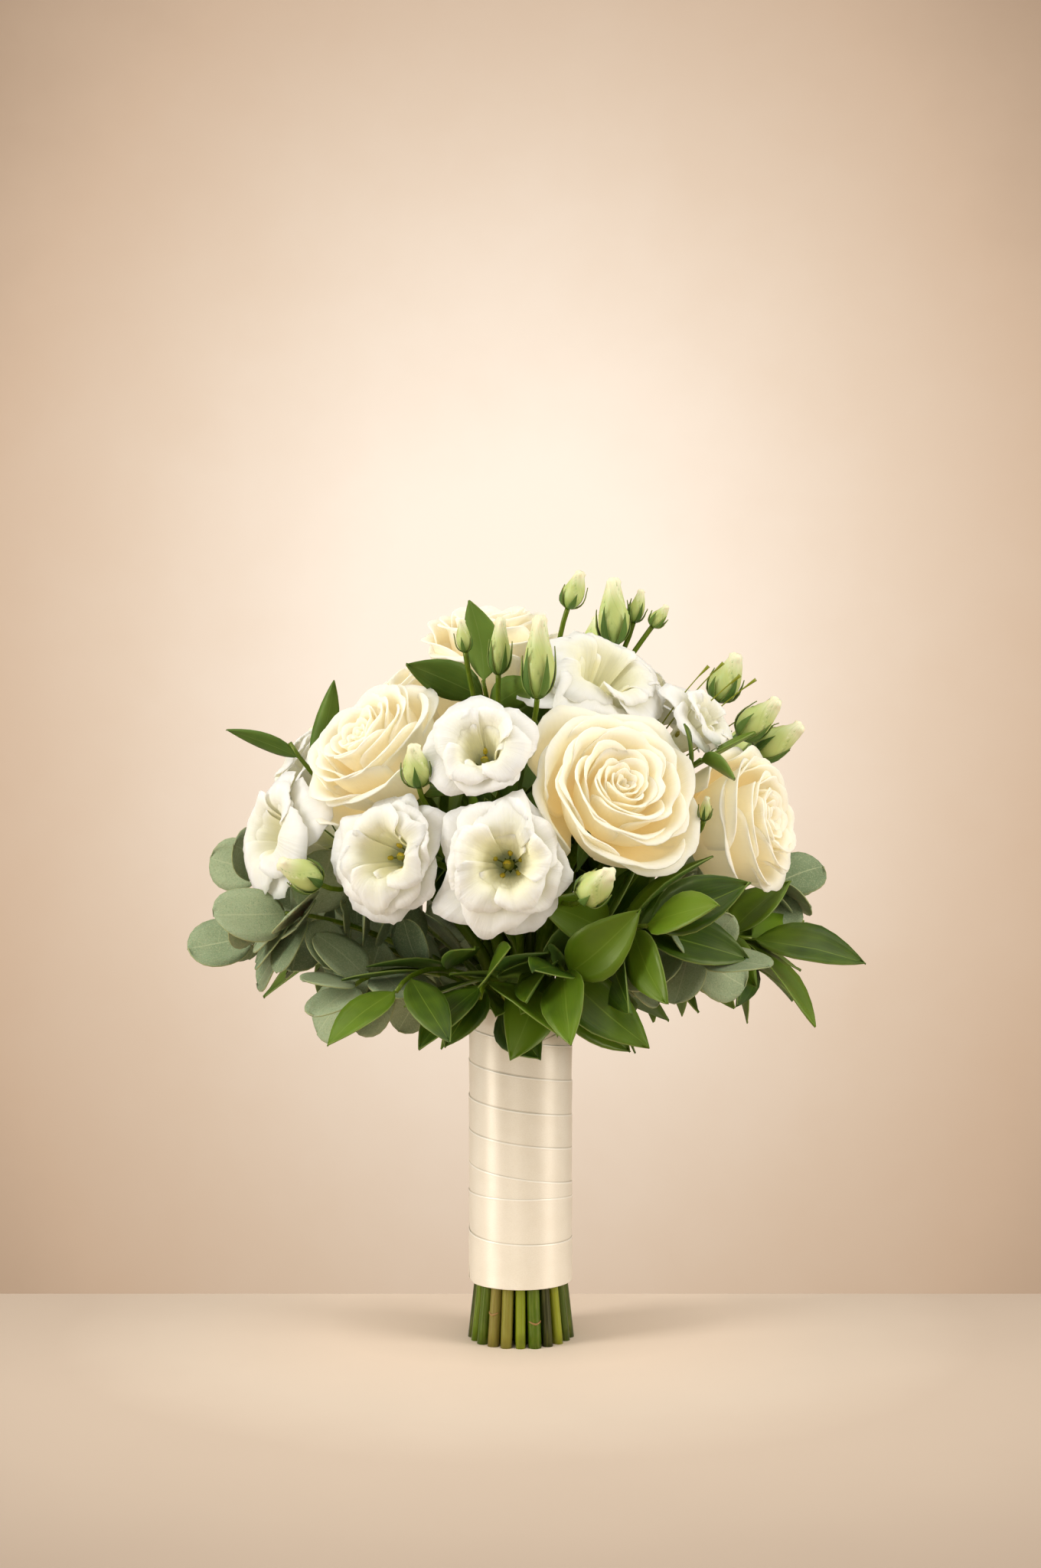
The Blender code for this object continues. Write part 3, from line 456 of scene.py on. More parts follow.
@dataclass(frozen=True)
class LeafFinish:
    """The skin of a leaf: its blade, veins and rim. Its veins make a net, or else long lines."""

    name: str
    dark: Colour
    light: Colour
    vein: Colour
    rim: Colour
    roughness: float
    net: bool
    coat: float = 0.0

    def material(self) -> bpy.types.Material:
        """Mixes the material of this face of the leaf.

        Returns:
            The material.
        """
        made = Recipe(self.name)
        across, tone = made.mark("across").size(), made.mark("tone")
        cloud = made.noise(made.place(), 55.0, 3.0)
        made.colour = made.blend(self.dark, self.light, made.step(cloud * 0.9 + tone * 0.6, 0.40, 1.05))
        if self.net:
            speck = made.noise(made.place(), 1700.0, 2.0, 0.7)
            made.tint(self.vein, made.step(speck, 0.50, 0.68) * 0.42)
            made.tint(self.dark, made.step(speck, 0.46, 0.30) * 0.50)
            net = made.step(made.cells(made.spot((9.0, 13.0, 1)), 1.0), 0.05, 0.0)
            made.tint(self.vein, net * 0.16)
            height = made.noise(made.place(), 420.0, 3.0) + net * 0.5
            depth = 0.00020
        else:
            lines = made.noise(made.spot((22, 0.6, 1)), 1.0, 2.0, 0.6)
            made.tint(self.light, made.step(lines, 0.45, 0.80) * 0.35)
            height = lines
            depth = 0.00012
        made.tint(self.vein, made.step(across, 0.040, 0.010) * 0.55)
        made.tint(self.rim, made.step(across, 0.972, 0.998) * 0.6)
        made.constants(Base_Color=made.colour, Roughness=self.roughness, Coat_Weight=self.coat)
        made.constants(Specular_IOR_Level=0.38, Specular_Tint=(1.0, 1.0, 0.55), Coat_Roughness=0.25)
        made.constants(Subsurface_Weight=0.08, Subsurface_Scale=0.002)
        made.relief(height, depth, 0.6)
        return made.material


@dataclass(frozen=True)
class StemFinish:
    """The bark of stems and twigs, in the colours of the "tone" mark."""

    name: str
    stops: tuple[tuple[float, Colour], ...]
    streak: Colour = (0.28, 0.33, 0.04)
    patch: Colour = (0.02, 0.03, 0.01)
    scar: Colour = (0.30, 0.17, 0.06)
    roughness: float = 0.30

    def material(self) -> bpy.types.Material:
        """Mixes the material of the stems.

        Returns:
            The material.
        """
        made = Recipe(self.name)
        fibre = made.noise(made.place((900, 900, 40)), 1.0, 3.0)
        made.colour = made.ramp(made.mark("tone"), self.stops)
        made.tint(self.streak, made.step(fibre, 0.42, 0.75) * 0.22)
        cloud = made.noise(made.place(), 160.0)
        made.tint(self.patch, made.step(cloud, 0.55, 0.8) * 0.35)
        made.tint(self.scar, made.mark("scar"))
        made.constants(Base_Color=made.colour, Roughness=self.roughness, Subsurface_Weight=0.06)
        made.constants(Subsurface_Scale=0.002, Specular_IOR_Level=0.55, Specular_Tint=(1.0, 0.9, 0.45))
        made.relief(fibre + made.mark("scar") * 1.5, 0.00018, 0.6)
        return made.material


@dataclass(frozen=True)
class BudFinish:
    """The skin of a closed bud, paler towards its tip, with darker streaks and painted shade in the groove
    under each fold.
    """

    name: str
    foot: Colour
    belly: Colour
    tip: Colour
    fold: Colour

    def material(self) -> bpy.types.Material:
        """Mixes the material of the buds.

        Returns:
            The material.
        """
        made = Recipe(self.name)
        along, fold = made.mark("along"), made.mark("across")
        made.colour = made.blend(self.foot, self.belly, made.step(along, 0.05, 0.38))
        made.tint(self.tip, made.step(along, 0.55, 1.0))
        streak = made.noise(made.spot((26, 1.5, 1)), 1.0, 3.0)
        made.tint(self.fold, made.step(streak, 0.48, 0.8) * 0.35)
        # Painted shade: the groove under the edge of each fold is darkened.
        made.tint(self.fold, made.step(fold, 0.14, 0.0) * 0.8)
        made.tint(self.tip, made.step(fold, 0.82, 1.0) * made.step(along, 0.2, 0.7) * 0.5)
        made.constants(Base_Color=made.colour, Roughness=0.45, Subsurface_Weight=0.2, Subsurface_Scale=0.003)
        made.relief(streak, 0.00015, 0.6)
        return made.material


@dataclass(frozen=True)
class SatinFinish:
    """Woven satin: a soft gloss over threads that run along the ribbon, with a firm woven edge, a painted
    highlight along the upper edge of each turn, and a painted shadow line just above the turn below.
    """

    name: str
    thread: Colour
    shadow: Colour
    selvage_highlight: Colour
    seam_shadow: Colour
    roughness: float = 0.42

    def material(self) -> bpy.types.Material:
        """Mixes the material of the ribbon.

        Returns:
            The material.
        """
        made = Recipe(self.name)
        across, above = made.mark("across"), made.mark("depth")
        weft = made.noise(made.spot((260, 4200, 1)), 1.0, 1.0)
        soft = made.noise(made.place(), 130.0, 2.0)
        grain = made.noise(made.place((1900, 1900, 3000)), 1.0, 2.0, 0.7)
        made.colour = made.blend(self.thread, self.shadow, made.step(soft, 0.35, 0.8) * 0.25)
        made.tint(self.shadow, made.step(weft, 0.45, 0.75) * 0.15)
        made.tint(self.shadow, made.step(grain, 0.40, 0.70) * 0.30)
        # Painted highlight: a pale line along the upper edge of each turn and of the lap.
        made.tint(self.selvage_highlight, made.step(across, 0.925, 0.950) * 0.8)
        # Painted shadow: a dark line where the band lies less than about half a millimetre above the edge of
        # the turn below, and along the top of the lap.
        made.tint(self.seam_shadow, made.step(above, 0.55, 0.20) * 0.45)
        made.constants(Base_Color=made.colour, Metallic=0.24, Anisotropic=0.6, Anisotropic_Rotation=0.25)
        made.constants(Roughness=grain * 0.30 + weft * 0.08 + (self.roughness - 0.19), Sheen_Weight=0.10)
        slack = made.noise(made.place((70, 70, 110)), 1.0, 2.0)
        fold = made.step(across, 0.915, 0.945)
        made.relief(weft * 0.3 + grain * 0.25 + slack * 4 + fold * 0.8, 0.00010, 0.6)
        return made.material


@dataclass(frozen=True)
class TapeFinish:
    """Waxed crepe paper, creased across."""

    name: str
    paper: Colour
    crease: Colour

    def material(self) -> bpy.types.Material:
        """Mixes the material of the binding tape.

        Returns:
            The material.
        """
        made = Recipe(self.name)
        crepe = made.noise(made.place((300, 300, 2600)), 1.0, 2.0)
        made.colour = made.blend(self.paper, self.crease, made.step(crepe, 0.4, 0.7))
        made.constants(Base_Color=made.colour, Roughness=0.62)
        made.relief(crepe, 0.0002, 0.8)
        return made.material


@dataclass(frozen=True)
class StageFinish:
    """Matt board whose colour paints a pool of light round a middle, palest there and darker outwards."""

    name: str
    middle: Place
    spread: Place
    stops: tuple[tuple[float, Colour], ...]
    roughness: float = 0.8

    def material(self) -> bpy.types.Material:
        """Mixes the material of the table or the wall.

        Returns:
            The material.
        """
        made = Recipe(self.name)
        where = made.node("ShaderNodeTexCoord", output=3)
        scale = tuple(1 / part for part in self.spread)
        offset = tuple(-m / part for m, part in zip(self.middle, self.spread))
        apart = made.node("ShaderNodeMapping", None, {"Vector": where, "Location": offset, "Scale": scale})
        distance = made.node("ShaderNodeVectorMath", {"operation": "LENGTH"}, {0: apart}, 1)
        cloud = made.noise(where, 6.0, 4.0, 0.6)
        # Painted light: palest near the middle, and darker outwards as painted shade.
        made.constants(Base_Color=made.ramp(distance * 0.5 + (cloud - 0.5) * 0.08, self.stops))
        made.constants(Roughness=self.roughness, Specular_IOR_Level=0.2)
        return made.material


class Finish(Enum):
    """Every finish of the bouquet and its stage."""

    # The light of both petal finishes is a painted glow that lifts the shade between their petals.
    ROSE = PetalFinish(
        "rose_petal", lip=(0.89, 0.84, 0.68), face=(0.88, 0.805, 0.565), depth=(0.93, 0.76, 0.40),
        throat=(0.86, 0.68, 0.25), glow=0.40, light=0.13, veined=0.12, relief=0.0003,
    )
    LISIANTHUS = PetalFinish(
        "lisianthus_petal", lip=(0.94, 0.92, 0.845), face=(0.91, 0.88, 0.75), depth=(0.90, 0.86, 0.54),
        throat=(0.46, 0.52, 0.10), glow=0.38, light=0.055, veined=0.20, relief=0.0005,
    )
    RUSCUS = LeafFinish(
        "ruscus_leaf", dark=(0.018, 0.050, 0.003), light=(0.108, 0.190, 0.008), vein=(0.18, 0.27, 0.03),
        rim=(0.20, 0.28, 0.06), roughness=0.40, net=False, coat=0.10,
    )
    RUSCUS_UNDER = LeafFinish(
        "ruscus_leaf_under", dark=(0.045, 0.100, 0.012), light=(0.120, 0.210, 0.03),
        vein=(0.17, 0.26, 0.06), rim=(0.24, 0.30, 0.08), roughness=0.45, net=False,
    )
    EUCALYPTUS = LeafFinish(
        "eucalyptus_leaf", dark=(0.150, 0.215, 0.112), light=(0.315, 0.385, 0.228),
        vein=(0.46, 0.50, 0.30), rim=(0.34, 0.38, 0.16), roughness=0.55, net=True,
    )
    EUCALYPTUS_UNDER = LeafFinish(
        "eucalyptus_leaf_under", dark=(0.19, 0.25, 0.14), light=(0.32, 0.38, 0.23),
        vein=(0.44, 0.50, 0.30), rim=(0.36, 0.40, 0.20), roughness=0.62, net=True,
    )
    SEPAL = LeafFinish(
        "sepal", dark=(0.05, 0.12, 0.02), light=(0.12, 0.22, 0.04), vein=(0.16, 0.28, 0.06),
        rim=(0.24, 0.30, 0.08), roughness=0.45, net=False,
    )
    STEM = StemFinish("stem", (
        (0.0, (0.010, 0.014, 0.006)), (0.2, (0.026, 0.052, 0.004)), (0.4, (0.050, 0.100, 0.002)),
        (0.6, (0.100, 0.170, 0.002)), (0.8, (0.235, 0.260, 0.015)), (1.0, (0.185, 0.135, 0.035)),
    ))
    BUD = BudFinish(
        "bud", foot=(0.24, 0.36, 0.07), belly=(0.52, 0.60, 0.20), tip=(0.86, 0.84, 0.58),
        fold=(0.26, 0.38, 0.08),
    )
    STIGMA = BudFinish(
        "stigma", foot=(0.10, 0.16, 0.02), belly=(0.30, 0.34, 0.04), tip=(0.62, 0.50, 0.04),
        fold=(0.20, 0.22, 0.03),
    )
    SATIN = SatinFinish(
        "satin_ribbon", thread=(0.895, 0.83, 0.70), shadow=(0.77, 0.69, 0.54),
        selvage_highlight=(1.0, 0.96, 0.86), seam_shadow=(0.48, 0.39, 0.26),
    )
    TAPE = TapeFinish("stem_tape", paper=(0.10, 0.20, 0.07), crease=(0.06, 0.13, 0.04))
    # The table's colour paints a pool of light round the handle, pale enough to lift the bouquet's shadow
    # there.
    TABLE = StageFinish("table", middle=(0, 0.03, 0), spread=(0.2, 0.2, 9), stops=(
        (0.2, (0.97, 0.80, 0.64)), (0.34, (0.78, 0.65, 0.52)), (0.46, (0.63, 0.51, 0.40)),
        (0.6, (0.56, 0.45, 0.35)), (0.95, (0.34, 0.255, 0.19)),
    ))
    # The wall's colour paints a glow behind the bouquet that darkens towards its corners.
    WALL = StageFinish("wall", middle=(0, 0, 0.32), spread=(0.78, 9, 1.2), roughness=0.9, stops=(
        (0.225, (0.69, 0.63, 0.565)), (0.45, (0.60, 0.495, 0.40)), (0.6, (0.56, 0.43, 0.325)),
        (0.75, (0.46, 0.34, 0.248)),
    ))


@cache
def material_of(finish: Finish) -> bpy.types.Material:
    """The material of a finish, made once."""
    return finish.value.material()


# Modelling


def new_object(name: str, data: Any) -> bpy.types.Object:
    """A new object at the origin of the scene."""
    obj = bpy.data.objects.new(name, data)
    bpy.context.scene.collection.objects.link(obj)
    return obj


def nothing_selected() -> None:
    """Deselects every object."""
    for obj in bpy.context.view_layer.objects:
        obj.select_set(False)


def apply_modifier(obj: bpy.types.Object, kind: str, **settings: Any) -> None:
    """Adds a modifier to a piece and applies it.

    Args:
        obj: The piece.
        kind: The modifier's type.
        settings: Its settings.
    """
    modifier = obj.modifiers.new(kind.lower(), kind)
    for key, value in settings.items():
        setattr(modifier, key, value)
    bpy.context.view_layer.objects.active = obj
    bpy.ops.object.modifier_apply(modifier=modifier.name)


@dataclass
class Pattern:
    """A plain piece, modelled once when it is first wanted and then copied, each copy in its own shape.

    across runs from -1 to 1 over a sheet or round a reed, and along from 0 at its foot to 1.
    """

    across: np.ndarray
    along: np.ndarray
    faces: list[tuple[int, ...]]

    @classmethod
    def read(cls, across: np.ndarray, along: np.ndarray) -> "Pattern":
        """Makes a pattern of the active object, which is then removed.

        Args:
            across: What across is at each of its points.
            along: What along is there.

        Returns:
            The pattern.
        """
        obj = bpy.context.object
        faces = [tuple(polygon.vertices) for polygon in obj.data.polygons]
        bpy.data.meshes.remove(obj.data)
        return cls(across, along, faces)

    @classmethod
    @cache
    def sheet(cls, columns: int, rows: int) -> "Pattern":
        """A flat sheet.

        Args:
            columns: How many squares it has across.
            rows: How many it has along.

        Returns:
            The sheet as a pattern.
        """
        nothing_selected()
        bpy.ops.mesh.primitive_grid_add(x_subdivisions=columns, y_subdivisions=rows, size=2)
        points = np.array([v.co for v in bpy.context.object.data.vertices])
        return cls.read(points[:, 0], (points[:, 1] + 1) / 2)

    @classmethod
    @cache
    def reed(cls, sides: int, rings: int) -> "Pattern":
        """A closed rod, extruded ring by ring from a filled circle.

        Args:
            sides: How many sides it has.
            rings: How many rings are extruded.

        Returns:
            The rod as a pattern.
        """
        nothing_selected()
        bpy.ops.mesh.primitive_circle_add(vertices=sides, radius=1, fill_type="NGON")
        bpy.ops.object.mode_set(mode="EDIT")
        for _ in range(rings):
            bpy.ops.mesh.extrude_region_move(TRANSFORM_OT_translate={"value": (0, 0, 1)})
        bpy.ops.mesh.select_all(action="SELECT")
        bpy.ops.mesh.normals_make_consistent(inside=False)
        bpy.ops.object.mode_set(mode="OBJECT")
        points = np.array([v.co for v in bpy.context.object.data.vertices])
        return cls.read(np.arctan2(points[:, 1], points[:, 0]) / math.pi, points[:, 2] / rings)


class Growth:
    """Shaped copies of patterns that make one piece."""

    MARKS = ("across", "along", "depth", "tone", "scar")

    def __init__(self) -> None:
        """Starts with nothing."""
        self.points: list[np.ndarray] = []
        self.faces: list[tuple[int, ...]] = []
        self.slots: list[int] = []
        self.marks: dict[str, list[np.ndarray]] = {name: [] for name in self.MARKS}
        self.count = 0

    def add(self, pattern: Pattern, points: np.ndarray, slot: int = 0, **marks: Any) -> None:
        """Adds a copy.

        Args:
            pattern: What is copied.
            points: Where each of its points goes.
            slot: The number of its material.
            marks: What its points store, where that differs from the pattern or from plain.
        """
        plain = {"across": pattern.across, "along": pattern.along, "depth": 0.0, "tone": 0.5, "scar": 0.0}
        for name, values in (plain | marks).items():
            self.marks[name].append(np.broadcast_to(np.asarray(values, float), len(points)))
        self.points.append(points)
        self.faces += [tuple(number + self.count for number in face) for face in pattern.faces]
        self.slots += [slot] * len(pattern.faces)
        self.count += len(points)

    def rod(self, path: np.ndarray, radii: np.ndarray, **marks: float) -> None:
        """Adds a thin stem that is led along a path."""
        reed = Pattern.reed(*STEM_REED)
        self.add(reed, along_path(reed, path, radii), **marks)

    def piece(self, name: str, finishes: Sequence[Finish]) -> bpy.types.Object:
        """The copies as one mesh object at the origin.

        Args:
            name: The piece's name.
            finishes: Its materials, in the order of their numbers.

        Returns:
            The object.
        """
        mesh = bpy.data.meshes.new(name)
        mesh.from_pydata(np.concatenate(self.points), [], self.faces)
        mesh.polygons.foreach_set("material_index", self.slots)
        mesh.polygons.foreach_set("use_smooth", [True] * len(self.faces))
        for mark, values in self.marks.items():
            layer = mesh.attributes.new(mark, "FLOAT", "POINT")
            layer.data.foreach_set("value", np.concatenate(values).astype(np.float32))
        corner = np.zeros(len(mesh.loops), np.int32)
        mesh.loops.foreach_get("vertex_index", corner)
        shown = ("across", "along", "tone")
        across, along, tone = (np.concatenate(self.marks[mark])[corner] for mark in shown)
        where = np.stack([(across + 1) / 2 + 3 * tone, along + 5 * tone], axis=1)
        mesh.uv_layers.new(name="map").data.foreach_set("uv", where.astype(np.float32).ravel())
        for finish in finishes:
            mesh.materials.append(material_of(finish))
        return new_object(name, mesh)


def join(body: bpy.types.Object, other: bpy.types.Object) -> None:
    """Joins an object to another.

    Args:
        body: The object that stays.
        other: The object that becomes part of it.
    """
    nothing_selected()
    other.select_set(True)
    body.select_set(True)
    bpy.context.view_layer.objects.active = body
    bpy.ops.object.join()


def fit(piece: bpy.types.Object, slot: str, *nodes: str) -> bpy.types.Object:
    """Puts a finished piece on the bouquet.

    Args:
        piece: The piece, in place.
        slot: The record's material slot; not used.
        nodes: The solids that it stands for.

    Returns:
        The piece.
    """
    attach(piece, "root")
    if nodes:
        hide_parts(*nodes)
    log.info("%s: %d faces for %s", piece.name, len(piece.data.polygons), ", ".join(nodes) or "detail")
    return piece


def along_path(pattern: Pattern, path: np.ndarray, radii: np.ndarray, level: bool = False) -> np.ndarray:
    """The points of a reed that is led along a path.

    Args:
        pattern: The reed.
        path: Points of its middle line.
        radii: The radius at each of them.
        level: Whether its foot is cut flat.

    Returns:
        Where each point of the reed goes.
    """
    steps = np.concatenate([[0], np.cumsum(np.linalg.norm(np.diff(path, axis=0), axis=1))])
    share = steps / steps[-1]
    rings = np.unique(np.round(pattern.along, 6))
    middle = np.stack([np.interp(rings, share, path[:, k]) for k in range(3)], axis=1)
    radius = np.interp(rings, share, radii)
    ways = np.gradient(middle, axis=0)
    if level:
        ways[0] = (0, 0, 1)
    sides, others = [], []
    side = basis(ways[0])[0]
    for way in ways:
        way = unit(way)
        side = unit(side - np.dot(side, way) * way)
        sides.append(side)
        others.append(np.cross(way, side))
    number = np.searchsorted(rings, np.round(pattern.along, 6))
    angle = pattern.across * math.pi
    out = np.cos(angle)[:, None] * np.array(sides)[number] + np.sin(angle)[:, None] * np.array(others)[number]
    return middle[number] + out * radius[number][:, None]


# What stands where: the same tables as in the solids.


@dataclass
class Bud:
    """A closed flower on its own stalk: the middle of its foot, where it points, and its size."""

    foot: Place
    azimuth: float
    elevation: float
    length: float
    radius: float

    @property
    def axis(self) -> np.ndarray:
        """The way that it points."""
        return heading(self.azimuth, self.elevation)

    @property
    def centre(self) -> np.ndarray:
        """The middle of the bud."""
        return np.array(self.foot) + 0.5 * self.length * self.axis


@dataclass
class Petal:
    """One petal in its bloom's own frame. Lengths are in metres and angles in degrees."""

    angle: float
    root_radius: float
    root_height: float
    lip_radius: float
    lip_height: float
    half_angle: float
    flare: float
    roll: float
    lean: float
    ruffle: float
    depth: float
    seed: int


@dataclass
class Bloom:
    """An open flower: where the middle of its face is, where it looks, and its size.

    spin turns it about its own axis, in degrees. Its petals are copies of a sheet of so many columns
    and rows, and the lowest stands first_root above its underside.
    """

    name: str
    face: Place
    azimuth: float
    elevation: float
    radius: float
    height: float
    spin: float = 0.0
    sheet: ClassVar[tuple[int, int]]
    first_root: ClassVar[float]
    thickness: ClassVar[float]
    slot: ClassVar[str]
    finish: ClassVar[Finish]

    # The most that a neighbour draws a petal in, as a share of the bloom's reach.
    GIVE = 0.24

    @property
    def axis(self) -> np.ndarray:
        """The way that it looks."""
        return heading(self.azimuth, self.elevation)

    @property
    def base(self) -> np.ndarray:
        """The middle of its underside."""
        return np.array(self.face) - self.height * self.axis

    @property
    def seat(self) -> np.ndarray:
        """Where its stem ends."""
        return self.base + (self.first_root - GAP) * self.axis

    @property
    def centre(self) -> np.ndarray:
        """The middle of the room that it takes up."""
        return np.array(self.face) - 0.4 * self.height * self.axis

    def placed(self, points: np.ndarray) -> np.ndarray:
        """Points of the bloom's own frame in the world."""
        x, y = basis(self.axis)
        return self.base + points @ np.array([x, y, self.axis])

    def tucked(self, points: np.ndarray) -> np.ndarray:
        """The points drawn inwards where they would press into a neighbour.

        Args:
            points: Places in the world.

        Returns:
            The places, each on its own side of the walls between the flowers.
        """
        height = (points - self.base) @ self.axis
        middle = self.base + height[:, None] * self.axis
        out = points - middle
        distance = np.maximum(np.linalg.norm(out, axis=1), 1e-9)
        room = np.full(len(points), 1.0)
        for centre, radius, name in neighbours():
            span = np.linalg.norm(centre - self.centre)
            if name == self.name or span > 2.6 * self.radius + radius:
                continue
            wall = (centre - self.centre) / span
            offset = (span + self.radius - radius) / 2 - GAP
            towards = out @ wall / distance
            free = offset - (middle - self.centre) @ wall
            room = np.where(towards > 1e-6, np.minimum(room, free / np.maximum(towards, 1e-6)), room)
        reach = self.radius * (0.62 + 0.42 * smooth(height / (0.5 * self.height)))
        squeeze = self.GIVE * np.tanh((1 - np.clip(room / reach, 0.05, 1.0)) / self.GIVE)
        return middle + out * (1 - squeeze * np.minimum(distance / reach, 1.0) ** 1.2)[:, None]

    def petals(self) -> list[Petal]:
        """Every petal of the bloom."""
        raise NotImplementedError

    def petal_points(self, petal: Petal, u: np.ndarray, v: np.ndarray) -> np.ndarray:
        """The middle sheet of a petal in the bloom's own frame."""
        raise NotImplementedError

    def build(self) -> bpy.types.Object:
        """Models the bloom.

        Returns:
            The bloom's petals as one piece.
        """
        growth, pattern = Growth(), Pattern.sheet(*self.sheet)
        for petal in self.petals():
            points = self.petal_points(petal, pattern.across, pattern.along)
            rng = np.random.default_rng(petal.seed)
            growth.add(pattern, self.tucked(self.placed(points)), depth=petal.depth, tone=rng.uniform(0, 1))
        piece = growth.piece("petals_" + self.name, [self.finish])
        apply_modifier(piece, "SOLIDIFY", thickness=self.thickness, offset=0.0)
        return fit(piece, self.slot, self.name)


@dataclass
class Rose(Bloom):
    """A many-petalled rose: a tight heart inside rings of petals with rolled lips."""

    count: int = 30
    sheet, first_root, thickness = (18, 13), 0.0030, 0.0006
    slot, finish = "rose", Finish.ROSE

    # Shares of the rose's radius, for which the tables of its petals give a value each.
    REACHES = (0.05, 0.20, 0.44, 0.72, 0.92)

    def at(self, reach: float, *values: float) -> float:
        """What a table of five values says for a petal's reach."""
        return float(np.interp(reach, self.REACHES, values))

    def petals(self) -> list[Petal]:
        """Lays out its petals.

        Returns:
            The petals from the heart outwards, each a golden angle on from the last.
        """
        rng = np.random.default_rng(int(1000 * self.radius) + int(self.spin))
        made = []
        for k in range(self.count):
            t = k / (self.count - 1)
            reach = 0.05 + 0.86 * t**1.12
            lip = reach * rng.uniform(0.97, 1.03) * self.radius
            height = self.at(reach, 0.90, 0.96, 0.99, 0.87, 0.60) * rng.uniform(0.97, 1.02)
            made.append(Petal(
                angle=self.spin + GOLDEN_ANGLE * k + rng.uniform(-10, 10),
                root_radius=min(0.0042 * (0.3 + 0.7 * t), 0.8 * lip),
                root_height=self.at(reach, 0.012, 0.011, 0.010, 0.0065, 0.003),
                lip_radius=lip,
                lip_height=height * self.height,
                half_angle=self.at(reach, 150, 100, 72, 62, 56),
                flare=self.at(reach, 0.01, 0.04, 0.08, 0.11, 0.13) * self.radius,
                roll=self.at(reach, 26, 40, 58, 88, 128) * rng.uniform(0.8, 1.2),
                lean=0.15 * reach * self.radius,
                ruffle=0.012 * self.radius,
                depth=1 - reach,
                seed=int(rng.integers(1 << 30)),
            ))
        return made

    def petal_points(self, petal: Petal, u: np.ndarray, v: np.ndarray) -> np.ndarray:
        """The middle sheet of a petal: a bowl that rises to a lip and rolls back over it.

        Args:
            petal: The petal.
            u: Places across.
            v: Places along.

        Returns:
            The place of each point in the bloom's own frame.
        """
        rng = np.random.default_rng(petal.seed)
        reach = 1 - petal.depth
        peak = rng.uniform(-0.2, 0.2)
        point = np.exp(-(((u - peak) / 0.20) ** 2))
        edge = 1 - (0.30 - 0.14 * reach) * np.abs(u) ** 2.6
        s = v * (edge + 0.006 * ripple(rng, u, v, (2, 3, 5)) + 0.03 * point)
        arc = (0.13 + 0.22 * reach) * self.radius
        full = math.radians(petal.roll)
        bow = arc / full
        turn_over = 1 - arc / (arc + 0.9 * (petal.lip_height - petal.root_height) + 0.5 * petal.lip_radius)
        rise = bow * math.sin(min(full, math.pi / 2))
        lip_radius = max(petal.lip_radius + petal.flare - bow * (1 - math.cos(full)), 0.0006)
        lip_height = petal.lip_height - rise
        angle = np.clip(s / turn_over, 0, 1) * math.pi / 2
        r = petal.root_radius + (lip_radius - petal.root_radius) * np.sin(angle) ** 1.15
        z = petal.root_height + (lip_height - petal.root_height) * (1 - np.cos(angle)) ** 0.78
        over = np.clip((s - turn_over) / (1 - turn_over), 0, 1.1)
        swing = full * over * (1 - (0.45 - 0.2 * reach) * point)
        r = r + bow * (1 - np.cos(swing))
        z = z + bow * np.sin(swing)
        r = r + (petal.lean * u + petal.ruffle * ripple(rng, u, v, (1, 2))) * smooth(s / 0.5)
        phi = np.radians(petal.angle + petal.half_angle * u * smooth(s / 0.4 + 0.2))
        return np.stack([r * np.cos(phi), r * np.sin(phi), z], axis=-1)


